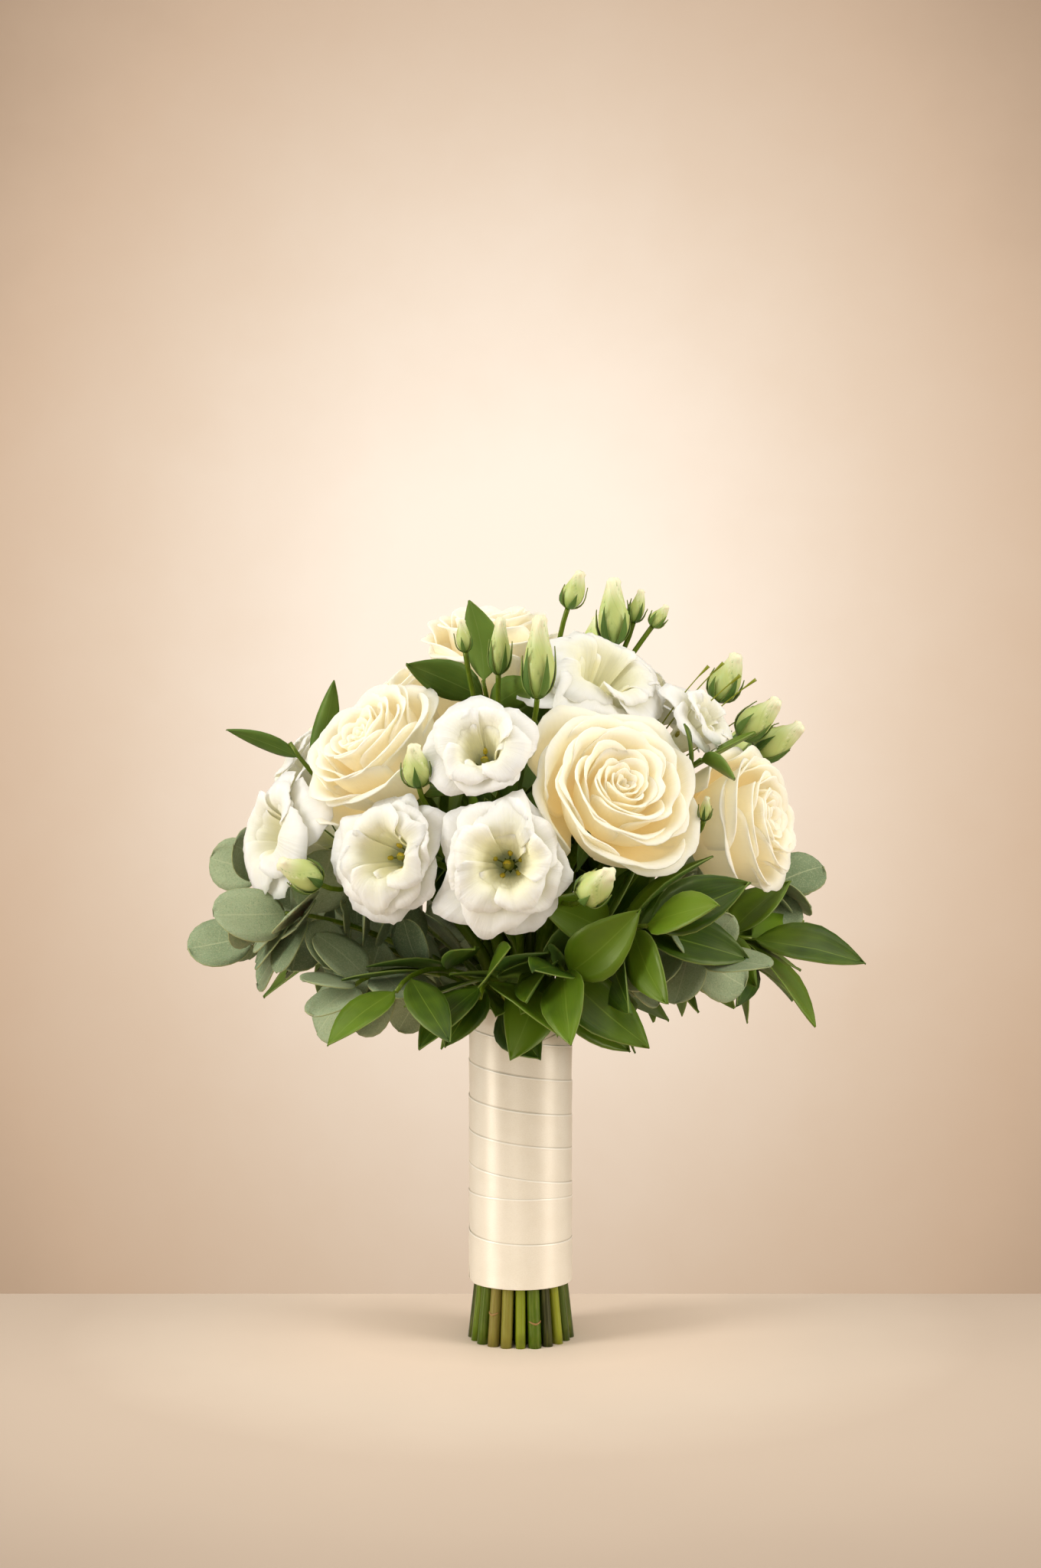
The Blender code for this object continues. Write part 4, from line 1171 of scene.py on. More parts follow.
@dataclass
class Lisianthus(Bloom):
    """A frilled, open trumpet of soft petals, double or single. heart: its solid has its own heart."""

    double: bool = True
    heart: bool = False
    sheet, first_root, thickness = (24, 15), 0.0020, 0.0004
    slot, finish = "lisianthus", Finish.LISIANTHUS

    # Shares of the pistil's height, and its radius there in millimetres.
    PISTIL = ((0, 0.15, 0.4, 0.62, 0.72, 0.86, 1.0), (0.6, 2.1, 2.3, 0.9, 0.9, 1.9, 0.5))

    def petals(self) -> list[Petal]:
        """Lays out its petals.

        Returns:
            The petals whorl by whorl, from the outside in.
        """
        rng = np.random.default_rng(int(1000 * self.radius) + 7 * int(self.spin) + 3)
        if self.double:
            whorls = [
                (5, 0.0020, 0.90, 0.74, 45, 0.13, 0),
                (5, 0.0030, 0.76, 0.86, 46, 0.13, 36),
                (5, 0.0050, 0.57, 0.96, 46, 0.17, 10),
                (2, 0.0060, 0.40, 0.84, 46, 0.10, 70),
            ]
        else:
            whorls = [
                (4, 0.0020, 0.86, 0.84, 56, 0.20, 0),
                (4, 0.0030, 0.66, 0.96, 58, 0.20, 45),
                (3, 0.0045, 0.47, 0.90, 50, 0.14, 20),
            ]
        made = []
        for number, (count, root, lip, height, half, flare, turn) in enumerate(whorls):
            for index in range(count):
                made.append(Petal(
                    angle=self.spin + turn + 360 * index / count + rng.uniform(-6, 6),
                    root_radius=0.0028 * (1 - 0.15 * number),
                    root_height=root,
                    lip_radius=lip * self.radius * rng.uniform(0.96, 1.03),
                    lip_height=height * self.height * rng.uniform(0.96, 1.02),
                    half_angle=half,
                    flare=flare * self.radius * rng.uniform(0.5, 1.6),
                    roll=0.0,
                    lean=0.06 * lip * self.radius,
                    ruffle=0.030 * self.radius,
                    depth=number / 3,
                    seed=int(rng.integers(1 << 30)),
                ))
        return made

    def petal_points(self, petal: Petal, u: np.ndarray, v: np.ndarray) -> np.ndarray:
        """The middle sheet of a petal: a narrow claw that opens to a broad, waved lip.

        Args:
            petal: The petal.
            u: Places across.
            v: Places along.

        Returns:
            The place of each point in the bloom's own frame.
        """
        rng = np.random.default_rng(petal.seed)
        rim = 0.014 * ripple(rng, u, v, (2, 4)) + 0.006 * ripple(rng, u, v, (9, 13))
        rim = rim + rng.choice((0.0, 0.02, 0.09)) * np.exp(-(((u - rng.uniform(-0.3, 0.3)) / 0.35) ** 2))
        s = v * (1 - 0.13 * np.abs(u) ** 3 + rim * smooth((v - 0.6) / 0.4))
        angle = np.minimum(np.clip(s, 0, None) * math.pi / 2, math.pi / 2)
        cup = 1.45 - 0.65 * petal.depth
        r = petal.root_radius + (petal.lip_radius - petal.root_radius) * s**cup
        z = petal.root_height + (petal.lip_height - petal.root_height) * np.sin(angle) ** 1.1
        curl = np.clip((s - 0.66) / 0.34, 0, None) ** 2
        r = r + petal.flare * curl
        z = z - 0.8 * petal.flare * curl
        out, up = petal.lip_radius - petal.root_radius, petal.lip_height - petal.root_height
        run = cup * out * np.maximum(s, 0.02) ** (cup - 1)
        rise = up * 0.5 * math.pi * np.cos(np.minimum(angle, 1.45))
        slope = np.hypot(run, rise)
        wave = -np.cos(1.5 * math.pi * (u + 1)) * smooth((s - 0.3) / 0.6)
        frill = ripple(rng, u, v, (2, 3)) * smooth((s - 0.5) / 0.5) ** 1.5
        fine = ripple(rng, u, v, (6, 8, 11)) * smooth((s - 0.78) / 0.22) ** 1.5
        crease = ripple(rng, u, 0.2 * v, (3, 5, 7)) * smooth(s / 0.5)
        lift = petal.ruffle * wave + petal.lean * u * smooth(s / 0.4)
        lift = lift + self.radius * (0.030 * frill + 0.016 * fine + 0.006 * crease)
        r = r + lift * rise / slope
        z = z - lift * run / slope
        phi = np.radians(petal.angle + petal.half_angle * u * smooth(s / 0.4 + 0.2))
        return np.stack([r * np.cos(phi), r * np.sin(phi), z], axis=-1)

    def build_heart(self) -> None:
        """Models the green pistil and the yellow anthers round it."""
        growth, reed = Growth(), Pattern.reed(*HEART_REED)
        foot = 0.32 * self.height + GAP
        shares = np.linspace(0, 1, 9)
        path = np.array([(0.0, 0.0, foot - 0.001 + 0.0088 * share) for share in shares])
        pistil = along_path(reed, path, np.interp(shares, *self.PISTIL) / 1000)
        growth.add(reed, self.placed(pistil), tone=0.3)
        for index in range(5):
            angle = math.radians(72 * index + 20 + self.spin + 16 * math.sin(5 * index))
            out = np.array([math.cos(angle), math.sin(angle), 0.0])
            way = unit(out * (0.5 + 0.16 * math.sin(3 * index + 1)) + UP)
            root = out * 0.0022 + UP * foot
            filament = np.array([root, root + 0.003 * way, root + 0.0056 * way])
            thread = along_path(reed, filament, np.array([0.3, 0.25, 0.25]) / 1000)
            growth.add(reed, self.placed(thread), along=0.2, tone=0.8)
            anther = np.array([filament[-1] + rise * way for rise in (-0.0016, -0.0008, 0.0010, 0.0020)])
            knob = along_path(reed, anther, np.array([0.15, 0.95, 0.95, 0.1]) / 1000)
            growth.add(reed, self.placed(knob), along=1.0, tone=0.8)
        piece = growth.piece("heart_of_" + self.name, [Finish.STIGMA])
        nodes = [self.name + "_heart"] if self.heart else []
        fit(piece, "heart", *nodes)


# The middle of each face, azimuth, elevation, radius, height, spin and, of some roses, the petals.
BLOOMS: tuple[Bloom, ...] = (
    Rose("rose_front_right", (0.038, -0.086, 0.219), 20, 28, 0.0365, 0.042, 10, 33),
    Rose("rose_front_left", (-0.062, -0.061, 0.237), -48, 38, 0.0320, 0.042, 40, 31),
    Rose("rose_right", (0.098, -0.038, 0.204), 64, 8, 0.0325, 0.042, 75),
    Rose("rose_top", (-0.013, -0.012, 0.284), -20, 76, 0.0300, 0.042, 5),
    Rose("rose_top_left", (-0.056, 0.016, 0.257), -82, 56, 0.0260, 0.040, 60, 27),
    Rose("rose_back_right", (0.052, 0.072, 0.228), 142, 32, 0.0310, 0.042, 25),
    Rose("rose_back_left", (-0.048, 0.084, 0.214), -148, 22, 0.0310, 0.042, 80),
    Lisianthus("lisianthus_front", (-0.006, -0.100, 0.189), -4, 4, 0.0250, 0.038, 0, heart=True),
    Lisianthus("lisianthus_front_left", (-0.050, -0.088, 0.192), -24, 6, 0.0225, 0.036, 30, heart=True),
    Lisianthus("lisianthus_centre", (-0.015, -0.089, 0.232), -8, 25, 0.0190, 0.036, 18, double=False),
    Lisianthus("lisianthus_top", (0.034, -0.040, 0.262), 34, 46, 0.0300, 0.036, 50),
    Lisianthus("lisianthus_right", (0.074, -0.036, 0.243), 58, 34, 0.0155, 0.032, 12, double=False),
    Lisianthus("lisianthus_left", (-0.098, -0.042, 0.199), -58, 12, 0.0240, 0.036, 30, double=False),
    Lisianthus("lisianthus_top_right", (0.058, 0.012, 0.259), 92, 52, 0.0230, 0.036, 65),
    Lisianthus("lisianthus_far_left", (-0.098, 0.012, 0.224), -88, 26, 0.0210, 0.036, 8),
    Lisianthus("lisianthus_back_top", (-0.002, 0.050, 0.262), 176, 58, 0.0240, 0.036, 35),
    Lisianthus("lisianthus_back_right", (0.098, 0.030, 0.208), 104, 12, 0.0240, 0.036, 5),
    Lisianthus("lisianthus_back_left", (-0.094, 0.058, 0.196), -118, 6, 0.0230, 0.036, 44),
    Lisianthus("lisianthus_back", (0.006, 0.100, 0.198), 178, 8, 0.0240, 0.036, 16),
)
BLOOM = {bloom.name: bloom for bloom in BLOOMS}


class Bundle:
    """Where the stems stand in the handle, how thick they are and what colour their feet have."""

    # Tone of each stem of the outer ring, from the front round by the right, and how thick it is.
    TONES = (
        0.72, 0.42, 0.02, 0.80, 0.25, 0.22, 0.5, 0.9, 0.3, 0.6, 0.1,
        0.45, 0.75, 0.3, 0.55, 0.2, 0.12, 0.50, 0.36, 0.97, 0.93,
    )
    GIRTHS = (
        0.92, 1.22, 1.0, 0.95, 0.96, 1.2, 1.0, 1.1, 0.9, 1.1, 0.95,
        1.15, 0.9, 1.0, 1.15, 0.95, 1.0, 0.95, 1.14, 1.1, 1.08,
    )
    # Slot and height of the scars that leaves have left.
    SCARS = {19: 0.0120, 1: 0.0092, 8: 0.011, 13: 0.009}

    @staticmethod
    def straight(ring: Ring, slot: float) -> list[np.ndarray]:
        """Finds a stem's way through the handle.

        Args:
            ring: The ring of the bundle.
            slot: The place in the ring.

        Returns:
            Its cut end, where the ribbon gathers it, and where it leaves the ribbon.
        """
        spot = heading(360 * slot / ring.value.count, 0)[:2] * ring.value.radius
        foot = np.array([*(spot * FOOT_SPREAD), 0.0])
        gathered = np.array([*spot, WRAP_BOTTOM + 0.001])
        return [foot, gathered, np.array([*spot, FAN_START])]

    @classmethod
    def stalk(
        cls, growth: Growth, ring: Ring, slot: float, above: np.ndarray, radii: Sequence[float]
    ) -> None:
        """Adds a whole stem to a piece.

        Args:
            growth: The piece.
            ring: The ring of the bundle.
            slot: The place in the ring.
            above: Points of the stem above the ribbon.
            radii: The radius at each of those points.
        """
        foot, gathered, top = cls.straight(ring, slot)
        reed, thickness = Pattern.reed(*STEM_REED), ring.value.thickness
        tone, radius = 0.35 + 0.25 * math.sin(5 * slot), thickness
        if ring is Ring.OUTER:
            tone, radius = cls.TONES[int(slot)], thickness * cls.GIRTHS[int(slot)]
        low = [foot + (gathered - foot) * share for share in np.linspace(0, 1, 9)]
        bound = [gathered + (top - gathered) * share for share in (0.3, 0.6, 0.9)]
        widths = np.array([radius] * len(low) + [thickness] * len(bound) + list(radii))
        points = along_path(reed, np.array([*low, *bound, *above]), widths, True)
        fade = smooth((points[:, 2] - 0.12) / 0.03)
        growth.add(reed, points, tone=tone * (1 - fade) + 0.45 * fade)
        if ring is Ring.OUTER and int(slot) in cls.SCARS:
            middle = foot + (gathered - foot) * (cls.SCARS[int(slot)] / gathered[2])
            cls.scar(growth, middle, unit([*foot[:2], 0.0]), radius)

    @staticmethod
    def scar(growth: Growth, middle: np.ndarray, out: np.ndarray, radius: float) -> None:
        """Adds the raised scar that a leaf has left on a stem.

        Args:
            growth: The piece.
            middle: The middle of the stem there.
            out: The level way from there to the scar.
            radius: The stem's radius there.
        """
        side = np.array([-out[1], out[0], 0.0])
        turns = np.radians(np.linspace(-62, 62, 9))
        line = middle + radius * (np.outer(np.cos(turns), out) + np.outer(np.sin(turns), side))
        line[:, 2] += 0.0011 * np.abs(np.sin(turns)) ** 1.5
        growth.rod(line, 0.0004 * np.cos(turns * 0.9), tone=1.0, scar=1.0)


@dataclass
class FlowerStem:
    """A flower stem: its place in the bundle, its blooms, the first at its end, and its buds.

    wisps are the tips of bare threads, and large and small are how many leaves of each size are
    added along it. wood and green gather what it is made of.
    """

    ring: Ring
    slot: float
    blooms: tuple[str, ...]
    buds: tuple[Bud, ...] = ()
    wisps: tuple[Place, ...] = ()
    large: int = 7
    small: int = 4
    wood: Growth = field(default_factory=Growth, init=False)
    green: Growth = field(default_factory=Growth, init=False)

    # How many places are tried for each leaf that is wanted.
    TRIES = 80
    # Shares of a bud's length, and its radius there.
    BUD_OUTLINE = (
        (0, 0.05, 0.13, 0.27, 0.42, 0.58, 0.74, 0.88, 0.95, 1.0),
        (0.22, 0.55, 0.82, 0.98, 0.97, 0.82, 0.62, 0.46, 0.42, 0.22),
    )
    # How far its sepals reach up a bud, as a share of the bud's length.
    SEPAL_REACH = 0.62

    @property
    def name(self) -> str:
        """The solid that it stands for."""
        return self.blooms[0] + "_stem"

    @property
    def rose(self) -> bool:
        """Whether it carries a rose."""
        return self.blooms[0].startswith("rose")

    def fan(self, count: int = COARSE) -> np.ndarray:
        """Its middle line above the ribbon, up to the neck of its bloom."""
        start, bloom = Bundle.straight(self.ring, self.slot)[-1], BLOOM[self.blooms[0]]
        return bend(start, (0, 0, 1), bloom.seat - 0.008 * bloom.axis, bloom.axis, count)

    def fork(self, bud: Bud) -> tuple[np.ndarray, np.ndarray]:
        """Finds where a bud's stalk leaves the stem.

        Args:
            bud: The bud.

        Returns:
            The place, and the way that the stalk leaves.
        """
        fan, towards = self.fan(), np.array(bud.foot)
        low = towards - 0.03 * unit(towards - fan[0])
        best = min(fan[1:4], key=lambda point: float(np.linalg.norm(point - low)))
        return best, unit(towards - best) + UP * 0.4

    def branch(self, bloom: Bloom, path: np.ndarray) -> None:
        """Adds a side branch, swollen under its bloom."""
        whole = np.array([*path, bloom.seat - 0.004 * bloom.axis, bloom.seat])
        self.wood.rod(whole, np.array([*[0.0012] * len(path), 0.0026, 0.0022]), tone=0.45)

    def bud(self, bud: Bud) -> np.ndarray:
        """Adds a bud and its stalk.

        Args:
            bud: What is built.

        Returns:
            The points of the bud's skin.
        """
        start, way = self.fork(bud)
        foot, drop = np.array(bud.foot), Pattern.reed(*BUD_REED)
        stalk = bend(start, way, foot, bud.axis, 12, 0.8)
        self.wood.rod(stalk, np.linspace(0.0009, 0.0010, len(stalk)), tone=0.5)
        shares = np.linspace(0, 1, 17)
        line = foot + shares[:, None] * bud.length * bud.axis
        points = along_path(drop, line, bud.radius * np.interp(shares, *self.BUD_OUTLINE))
        fold = (1.5 * (drop.across + 1) + 1.2 * drop.along) % 1.0
        spine = foot + ((points - foot) @ bud.axis)[:, None] * bud.axis
        lobes = np.sin(3 * math.pi * drop.across + 5 * self.slot)
        open_tip = 0.35 * smooth((drop.along - 0.86) / 0.12) * lobes
        points = spine + (points - spine) * (0.92 + 0.15 * fold**1.5 + open_tip)[:, None]
        self.wood.add(drop, points, slot=1, across=fold, tone=(7 * bud.length * 1000 % 10) / 10)
        return points

    def sepals(self, foot: np.ndarray, axis: np.ndarray, size: Sequence[float], hug: float = 0.0) -> None:
        """Adds five narrow green leaves round the foot of a bloom or bud.

        Args:
            foot: The middle of the flower's foot.
            axis: The way that the flower points.
            size: How far they reach along the flower, their width, and their radius at foot and tip.
            hug: The radius of the bud that they lie on, or 0 where they stand free.
        """
        reach, width, low, high = size
        sheet = Pattern.sheet(*SEPAL_SHEET)
        u, v = sheet.across, sheet.along
        x, y = basis(axis)
        for index in range(5):
            rng = np.random.default_rng(int(100 * self.slot) + 7 * index + int(1e5 * abs(reach)))
            angle = math.radians(72 * index + 31 * self.slot)
            out = math.cos(angle) * x + math.sin(angle) * y
            side = np.cross(axis, out)
            long = reach * rng.uniform(0.75, 1.1)
            half = width / 2 * (0.35 + 0.65 * np.sin(math.pi * np.clip(v, 0, 1) ** 0.6)) * (1 - v**3)
            if hug:
                share = v * long / (reach / self.SEPAL_REACH)
                radius = hug * np.interp(share, *self.BUD_OUTLINE) * 1.07 + 0.0003
                radius = radius + 0.0022 * np.clip(v - 0.7, 0, None)
            else:
                radius = low + (high - low) * v**0.9
            radius = radius - 0.45 * (half * u) ** 2 / max(low, 0.001)
            points = foot + np.outer(v * long, axis) + np.outer(radius, out) + np.outer(half * u, side)
            self.green.add(sheet, points, tone=rng.uniform(0, 0.6))

    def build(self, thicket: "Thicket") -> None:
        """Models the stem with its branches, buds and sepals.

        Args:
            thicket: The room that is taken.
        """
        thickness = self.ring.value.thickness
        fan = self.fan(20)
        slim = thickness * (0.75 if self.rose else 0.6)
        bloom = BLOOM[self.blooms[0]]
        hip = (0.0038, 0.0030) if self.rose else (0.0026, 0.0021)
        above = np.array([*fan, bloom.seat - 0.004 * bloom.axis, bloom.seat])
        radii = [*np.linspace(thickness, slim, len(fan)), *hip]
        Bundle.stalk(self.wood, self.ring, self.slot, above, radii)
        thicket.take(above)
        coarse = self.fan()
        for name in self.blooms[1:]:
            side = BLOOM[name]
            way = unit(coarse[2] - coarse[1])
            self.branch(side, bend(coarse[1], way, side.seat - 0.008 * side.axis, side.axis, 14))
        for bud in self.buds:
            thicket.take(self.bud(bud))
            size = (self.SEPAL_REACH * bud.length, 0.55 * bud.radius, bud.radius, bud.radius)
            self.sepals(np.array(bud.foot), bud.axis, size, bud.radius)
        for name in self.blooms:
            flower = BLOOM[name]
            size = (-0.006, 0.0060, 0.0032, 0.0170) if self.rose else (0.011, 0.0026, 0.0022, 0.0125)
            self.sepals(flower.seat - 0.001 * flower.axis, flower.axis, size)
        for tip in np.array(self.wisps):
            way = unit(tip - coarse[3])
            line = bend(coarse[3], way + np.array([0, -0.4, 0]), tip, way + np.array([0.5, 0, 0.2]), 12)
            radii = np.interp(range(len(line)), (0, 10, 11), (0.0004, 0.00022, 0.0007))
            self.wood.rod(line, radii, tone=0.75)

    def fill(self, thicket: "Thicket", wanted: int, size: float) -> None:
        """Adds leaves along the stem, in the room between the flowers.

        Args:
            thicket: The room that is taken.
            wanted: How many leaves to add.
            size: Their size, as a share of a large leaf's.
        """
        rng = np.random.default_rng(int(97 * self.slot + 1000 * (1 - size)) + len(self.name))
        curve, added = self.fan(FINE), 0
        for _ in range(self.TRIES * wanted):
            foot = part_way(curve, rng.uniform(0.25, 0.9))
            out = unit([foot[0], foot[1], 0.02])
            spin = turned(out, UP, rng.uniform(-150, 150))
            way = unit(spin * rng.uniform(0.2, 0.9) + UP * rng.uniform(0.35, 1.0))
            up = out * rng.uniform(-0.4, 1.0) + UP * rng.uniform(0.0, 1.0)
            length = size * rng.uniform(0.024, 0.042)
            width = length * rng.uniform(0.36, 0.48)
            leaf = Leaf(Foliage.RUSCUS, foot, way, up, length, width, rng.uniform(0.05, 0.25))
            added += leaf.sprout(rng, thicket, self.green, 1 if self.rose else 0)
            if added == wanted:
                break
        log.info("%s: %d leaves between the flowers", self.name, added)

    def finish(self) -> None:
        """Makes one piece of the stem and puts it on the bouquet."""
        piece = self.wood.piece("stem_" + self.blooms[0], [Finish.STEM, Finish.BUD])
        greens = self.green.piece("greens_" + self.name, [Finish.SEPAL, Finish.RUSCUS])
        apply_modifier(greens, "SOLIDIFY", thickness=0.0004, offset=0.0)
        join(piece, greens)
        fit(piece, "rose_stem" if self.rose else "lisianthus_stem", self.name)


STEMS = (
    FlowerStem(Ring.MIDDLE, 1, ("rose_front_right",), small=18),
    FlowerStem(Ring.MIDDLE, 10, ("rose_front_left",)),
    FlowerStem(Ring.OUTER, 4, ("rose_right",), small=12),
    FlowerStem(Ring.CENTRE, 0, ("rose_top",)),
    FlowerStem(Ring.INNER, 3.8, ("rose_top_left",)),
    FlowerStem(Ring.MIDDLE, 5, ("rose_back_right",)),
    FlowerStem(Ring.MIDDLE, 6, ("rose_back_left",)),
    FlowerStem(Ring.OUTER, 0, ("lisianthus_front", "lisianthus_front_left"), (
        Bud((0.022, -0.090, 0.176), 40, 35, 0.018, 0.0060),
        Bud((-0.036, -0.078, 0.215), -20, 70, 0.016, 0.0052),
    )),
    FlowerStem(Ring.MIDDLE, 0, ("lisianthus_centre",), (
        Bud((0.006, -0.066, 0.247), 10, 78, 0.030, 0.0058),
        Bud((-0.008, -0.060, 0.256), 10, 74, 0.021, 0.0040),
        Bud((-0.020, -0.060, 0.264), -30, 76, 0.012, 0.0028),
    )),
    FlowerStem(Ring.INNER, 0.6, ("lisianthus_top", "lisianthus_top_right"), (
        Bud((0.018, -0.024, 0.283), 50, 64, 0.015, 0.0045),
        Bud((0.036, -0.008, 0.270), 0, 84, 0.026, 0.0062),
        Bud((0.044, -0.006, 0.279), 60, 74, 0.013, 0.0032),
        Bud((0.051, -0.010, 0.277), 70, 52, 0.010, 0.0030),
    )),
    FlowerStem(Ring.MIDDLE, 3, ("lisianthus_right",), (
        Bud((0.076, -0.012, 0.248), 60, 64, 0.020, 0.0062),
        Bud((0.084, -0.018, 0.234), 70, 42, 0.021, 0.0062),
        Bud((0.091, -0.008, 0.227), 76, 32, 0.022, 0.0062),
        Bud((0.066, -0.066, 0.203), 20, 72, 0.009, 0.0022),
    ), wisps=(
        (0.071, -0.030, 0.2605), (0.077, -0.026, 0.262), (0.083, -0.030, 0.257),
        (0.090, -0.020, 0.256), (0.097, -0.018, 0.249),
    )),
    FlowerStem(Ring.MIDDLE, 9, ("lisianthus_left", "lisianthus_far_left"), (
        Bud((-0.072, -0.068, 0.180), -60, 28, 0.018, 0.0058),
    )),
    FlowerStem(Ring.INNER, 2.5, ("lisianthus_back_top",), (
        Bud((-0.029, 0.046, 0.261), -150, 70, 0.018, 0.0050),
        Bud((0.028, 0.040, 0.265), 140, 70, 0.022, 0.0056),
    )),
    FlowerStem(Ring.MIDDLE, 4, ("lisianthus_back_right",), (
        Bud((0.086, 0.048, 0.226), 118, 50, 0.020, 0.0056),
    )),
    FlowerStem(Ring.OUTER, 10, ("lisianthus_back",)),
    FlowerStem(Ring.MIDDLE, 7, ("lisianthus_back_left",), (
        Bud((-0.078, 0.056, 0.226), -120, 50, 0.018, 0.0052),
    )),
)


@cache
def neighbours() -> list[tuple[np.ndarray, float, str]]:
    """Lists what claims its own room in the dome.

    Returns:
        The centre, radius and name of each bloom and bud.
    """
    rooms = [(bloom.centre, bloom.radius, bloom.name) for bloom in BLOOMS]
    for stem in STEMS:
        rooms += [(bud.centre, bud.radius + 0.001, "bud") for bud in stem.buds]
    return rooms


# Leaves

# How thick a solid leaf is, and how deep its foot goes into the twig.
SOLID_LEAF = 0.0008
ROOTED = 0.0014
# How the solids move a leaf out of its neighbours' way: swing, tip, roll and size.
LEAF_TRIES = [
    (swing, tip, roll, size)
    for size in (1.0, 0.8)
    for roll in (0, 30, -30, 60, -60, 100, -100)
    for tip in (0, -20, 20, 40, -40)
    for swing in (0, -20, 20, 35)
]


@dataclass(frozen=True)
class LeafKind:
    """What sets one kind of leaf apart.

    outline gives its half width, as a share of the widest, at shares of its length, keel how far its
    edges stand up, spread its angle to the twig and shape its width for its length, all as in the
    solids. Added leaves draw their shape from shapes and their length from lengths, and get smaller
    by up to shrink as places get hard to find.
    """

    slot: str
    outline: tuple[tuple[float, float], ...]
    keel: float
    spread: float
    shape: float
    shapes: tuple[float, float]
    lengths: tuple[float, float]
    shrink: float
    finishes: tuple[Finish, Finish]


class Foliage(Enum):
    """The kinds of leaf."""

    RUSCUS = LeafKind(
        slot="ruscus", outline=((0.0, 0.0), (0.30, 0.92), (0.66, 0.84), (1.0, 0.0)), keel=0.22,
        spread=52, shape=0.42, shapes=(0.42, 0.52), lengths=(0.68, 1.06), shrink=0.0,
        finishes=(Finish.RUSCUS, Finish.RUSCUS_UNDER),
    )
    EUCALYPTUS = LeafKind(
        slot="eucalyptus", outline=((0.0, 0.0), (0.28, 0.92), (0.70, 0.96), (1.0, 0.42)), keel=0.0,
        spread=76, shape=0.82, shapes=(0.74, 0.95), lengths=(0.70, 1.15), shrink=0.4,
        finishes=(Finish.EUCALYPTUS, Finish.EUCALYPTUS_UNDER),
    )


@dataclass
class Leaf:
    """A blade: its foot, the way it points, the way its upper face looks, and its size."""

    kind: Foliage
    foot: np.ndarray
    way: np.ndarray
    up: np.ndarray
    length: float
    width: float
    arch: float

    # Shares of its length: how much of it is stalk, and how much may lie close to its twig.
    PETIOLE = 0.10
    NEAR = 0.22

    def frame(self) -> tuple[np.ndarray, np.ndarray, np.ndarray]:
        """Sets up the blade's own frame.

        Returns:
            Unit vectors along the blade, across it and up from it.
        """
        way = unit(self.way)
        up = unit(self.up - np.dot(self.up, way) * way)
        return way, np.cross(way, up), up

    def corners(self) -> list[np.ndarray]:
        """Lists corners of the solid blade.

        Returns:
            Those that a union leaves in place, the tip's first.
        """
        way, side, up = self.frame()
        found = []
        for share, width in reversed(self.kind.value.outline[1:]):
            half = width * self.width / 2
            spine = self.foot + way * share * self.length - up * self.arch * self.length * share**2
            edge = up * (self.kind.value.keel * half)
            for sign in (-1, 1):
                found.append(spine + sign * side * half + edge + up * SOLID_LEAF / 2)
        return found

    def points(self, rng: np.random.Generator, shift: Sequence[float] = (0, 0, 0)) -> np.ndarray:
        """The middle sheet of the blade.

        Args:
            rng: Where its small waves come from.
            shift: How far its foot is moved to reach its twig.

        Returns:
            The place of each point.
        """
        way, side, up = self.frame()
        sheet, stalk_end = Pattern.sheet(*LEAF_SHEET), self.PETIOLE
        u, v = sheet.across, sheet.along
        blade = (1 - np.cos(math.pi * np.clip((v - stalk_end) / (1 - stalk_end), 0, 1))) / 2
        v = np.where(v > stalk_end, stalk_end + (1 - stalk_end) * blade, v)
        if self.kind is Foliage.RUSCUS:
            half = (blade**0.66 * (1 - blade) ** 0.98) / 0.3288
            fold, wave, tip = rng.uniform(0.10, 0.34), rng.uniform(0.010, 0.035), 0.10
        else:
            half = np.sqrt(np.clip(1 - np.abs(2 * blade - 1) ** 2.3, 0, None)) * (0.93 + 0.07 * blade)
            fold, wave, tip = 0.05, 0.030, -0.02
        stalk = 0.0006 * (1 - smooth(blade * 12))
        half = half * self.width * 0.54 + stalk
        drop = -self.arch * v**2 - tip * np.clip(v - 0.6, 0, None) * rng.uniform(-0.6, 1.6)
        lift = fold * half * np.abs(u) ** 1.4 + self.length * drop
        waves = wave * self.length * ripple(rng, u, v, (0.7, 1.3))
        lift = lift + waves * smooth(2 * blade) * (0.3 + 0.7 * np.abs(u))
        sway = 0.05 * self.length * rng.uniform(-1, 1) * np.sin(math.pi * v)
        twist = math.radians(rng.uniform(-22, 22)) * v
        flat, tall = half * u * np.cos(twist) + sway, lift + half * u * np.sin(twist)
        foot = self.foot + np.outer((1 - v) ** 2, shift)
        return foot + np.outer(v * self.length, way) + np.outer(flat, side) + np.outer(tall, up)

    def sprout(self, rng: np.random.Generator, thicket: "Thicket", growth: Growth, slot: int = 0) -> bool:
        """Adds the leaf if there is room for it.

        Args:
            rng: Where its waves and its tone come from.
            thicket: The room that is taken.
            growth: What it is added to.
            slot: The number of its material there.

        Returns:
            Whether it was added.
        """
        sheet, points = Pattern.sheet(*LEAF_SHEET), self.points(rng)
        if not thicket.free(points[sheet.along > self.NEAR]):
            return False
        growth.add(sheet, points, slot=slot, tone=rng.uniform(0, 1))
        thicket.take(points)
        return True


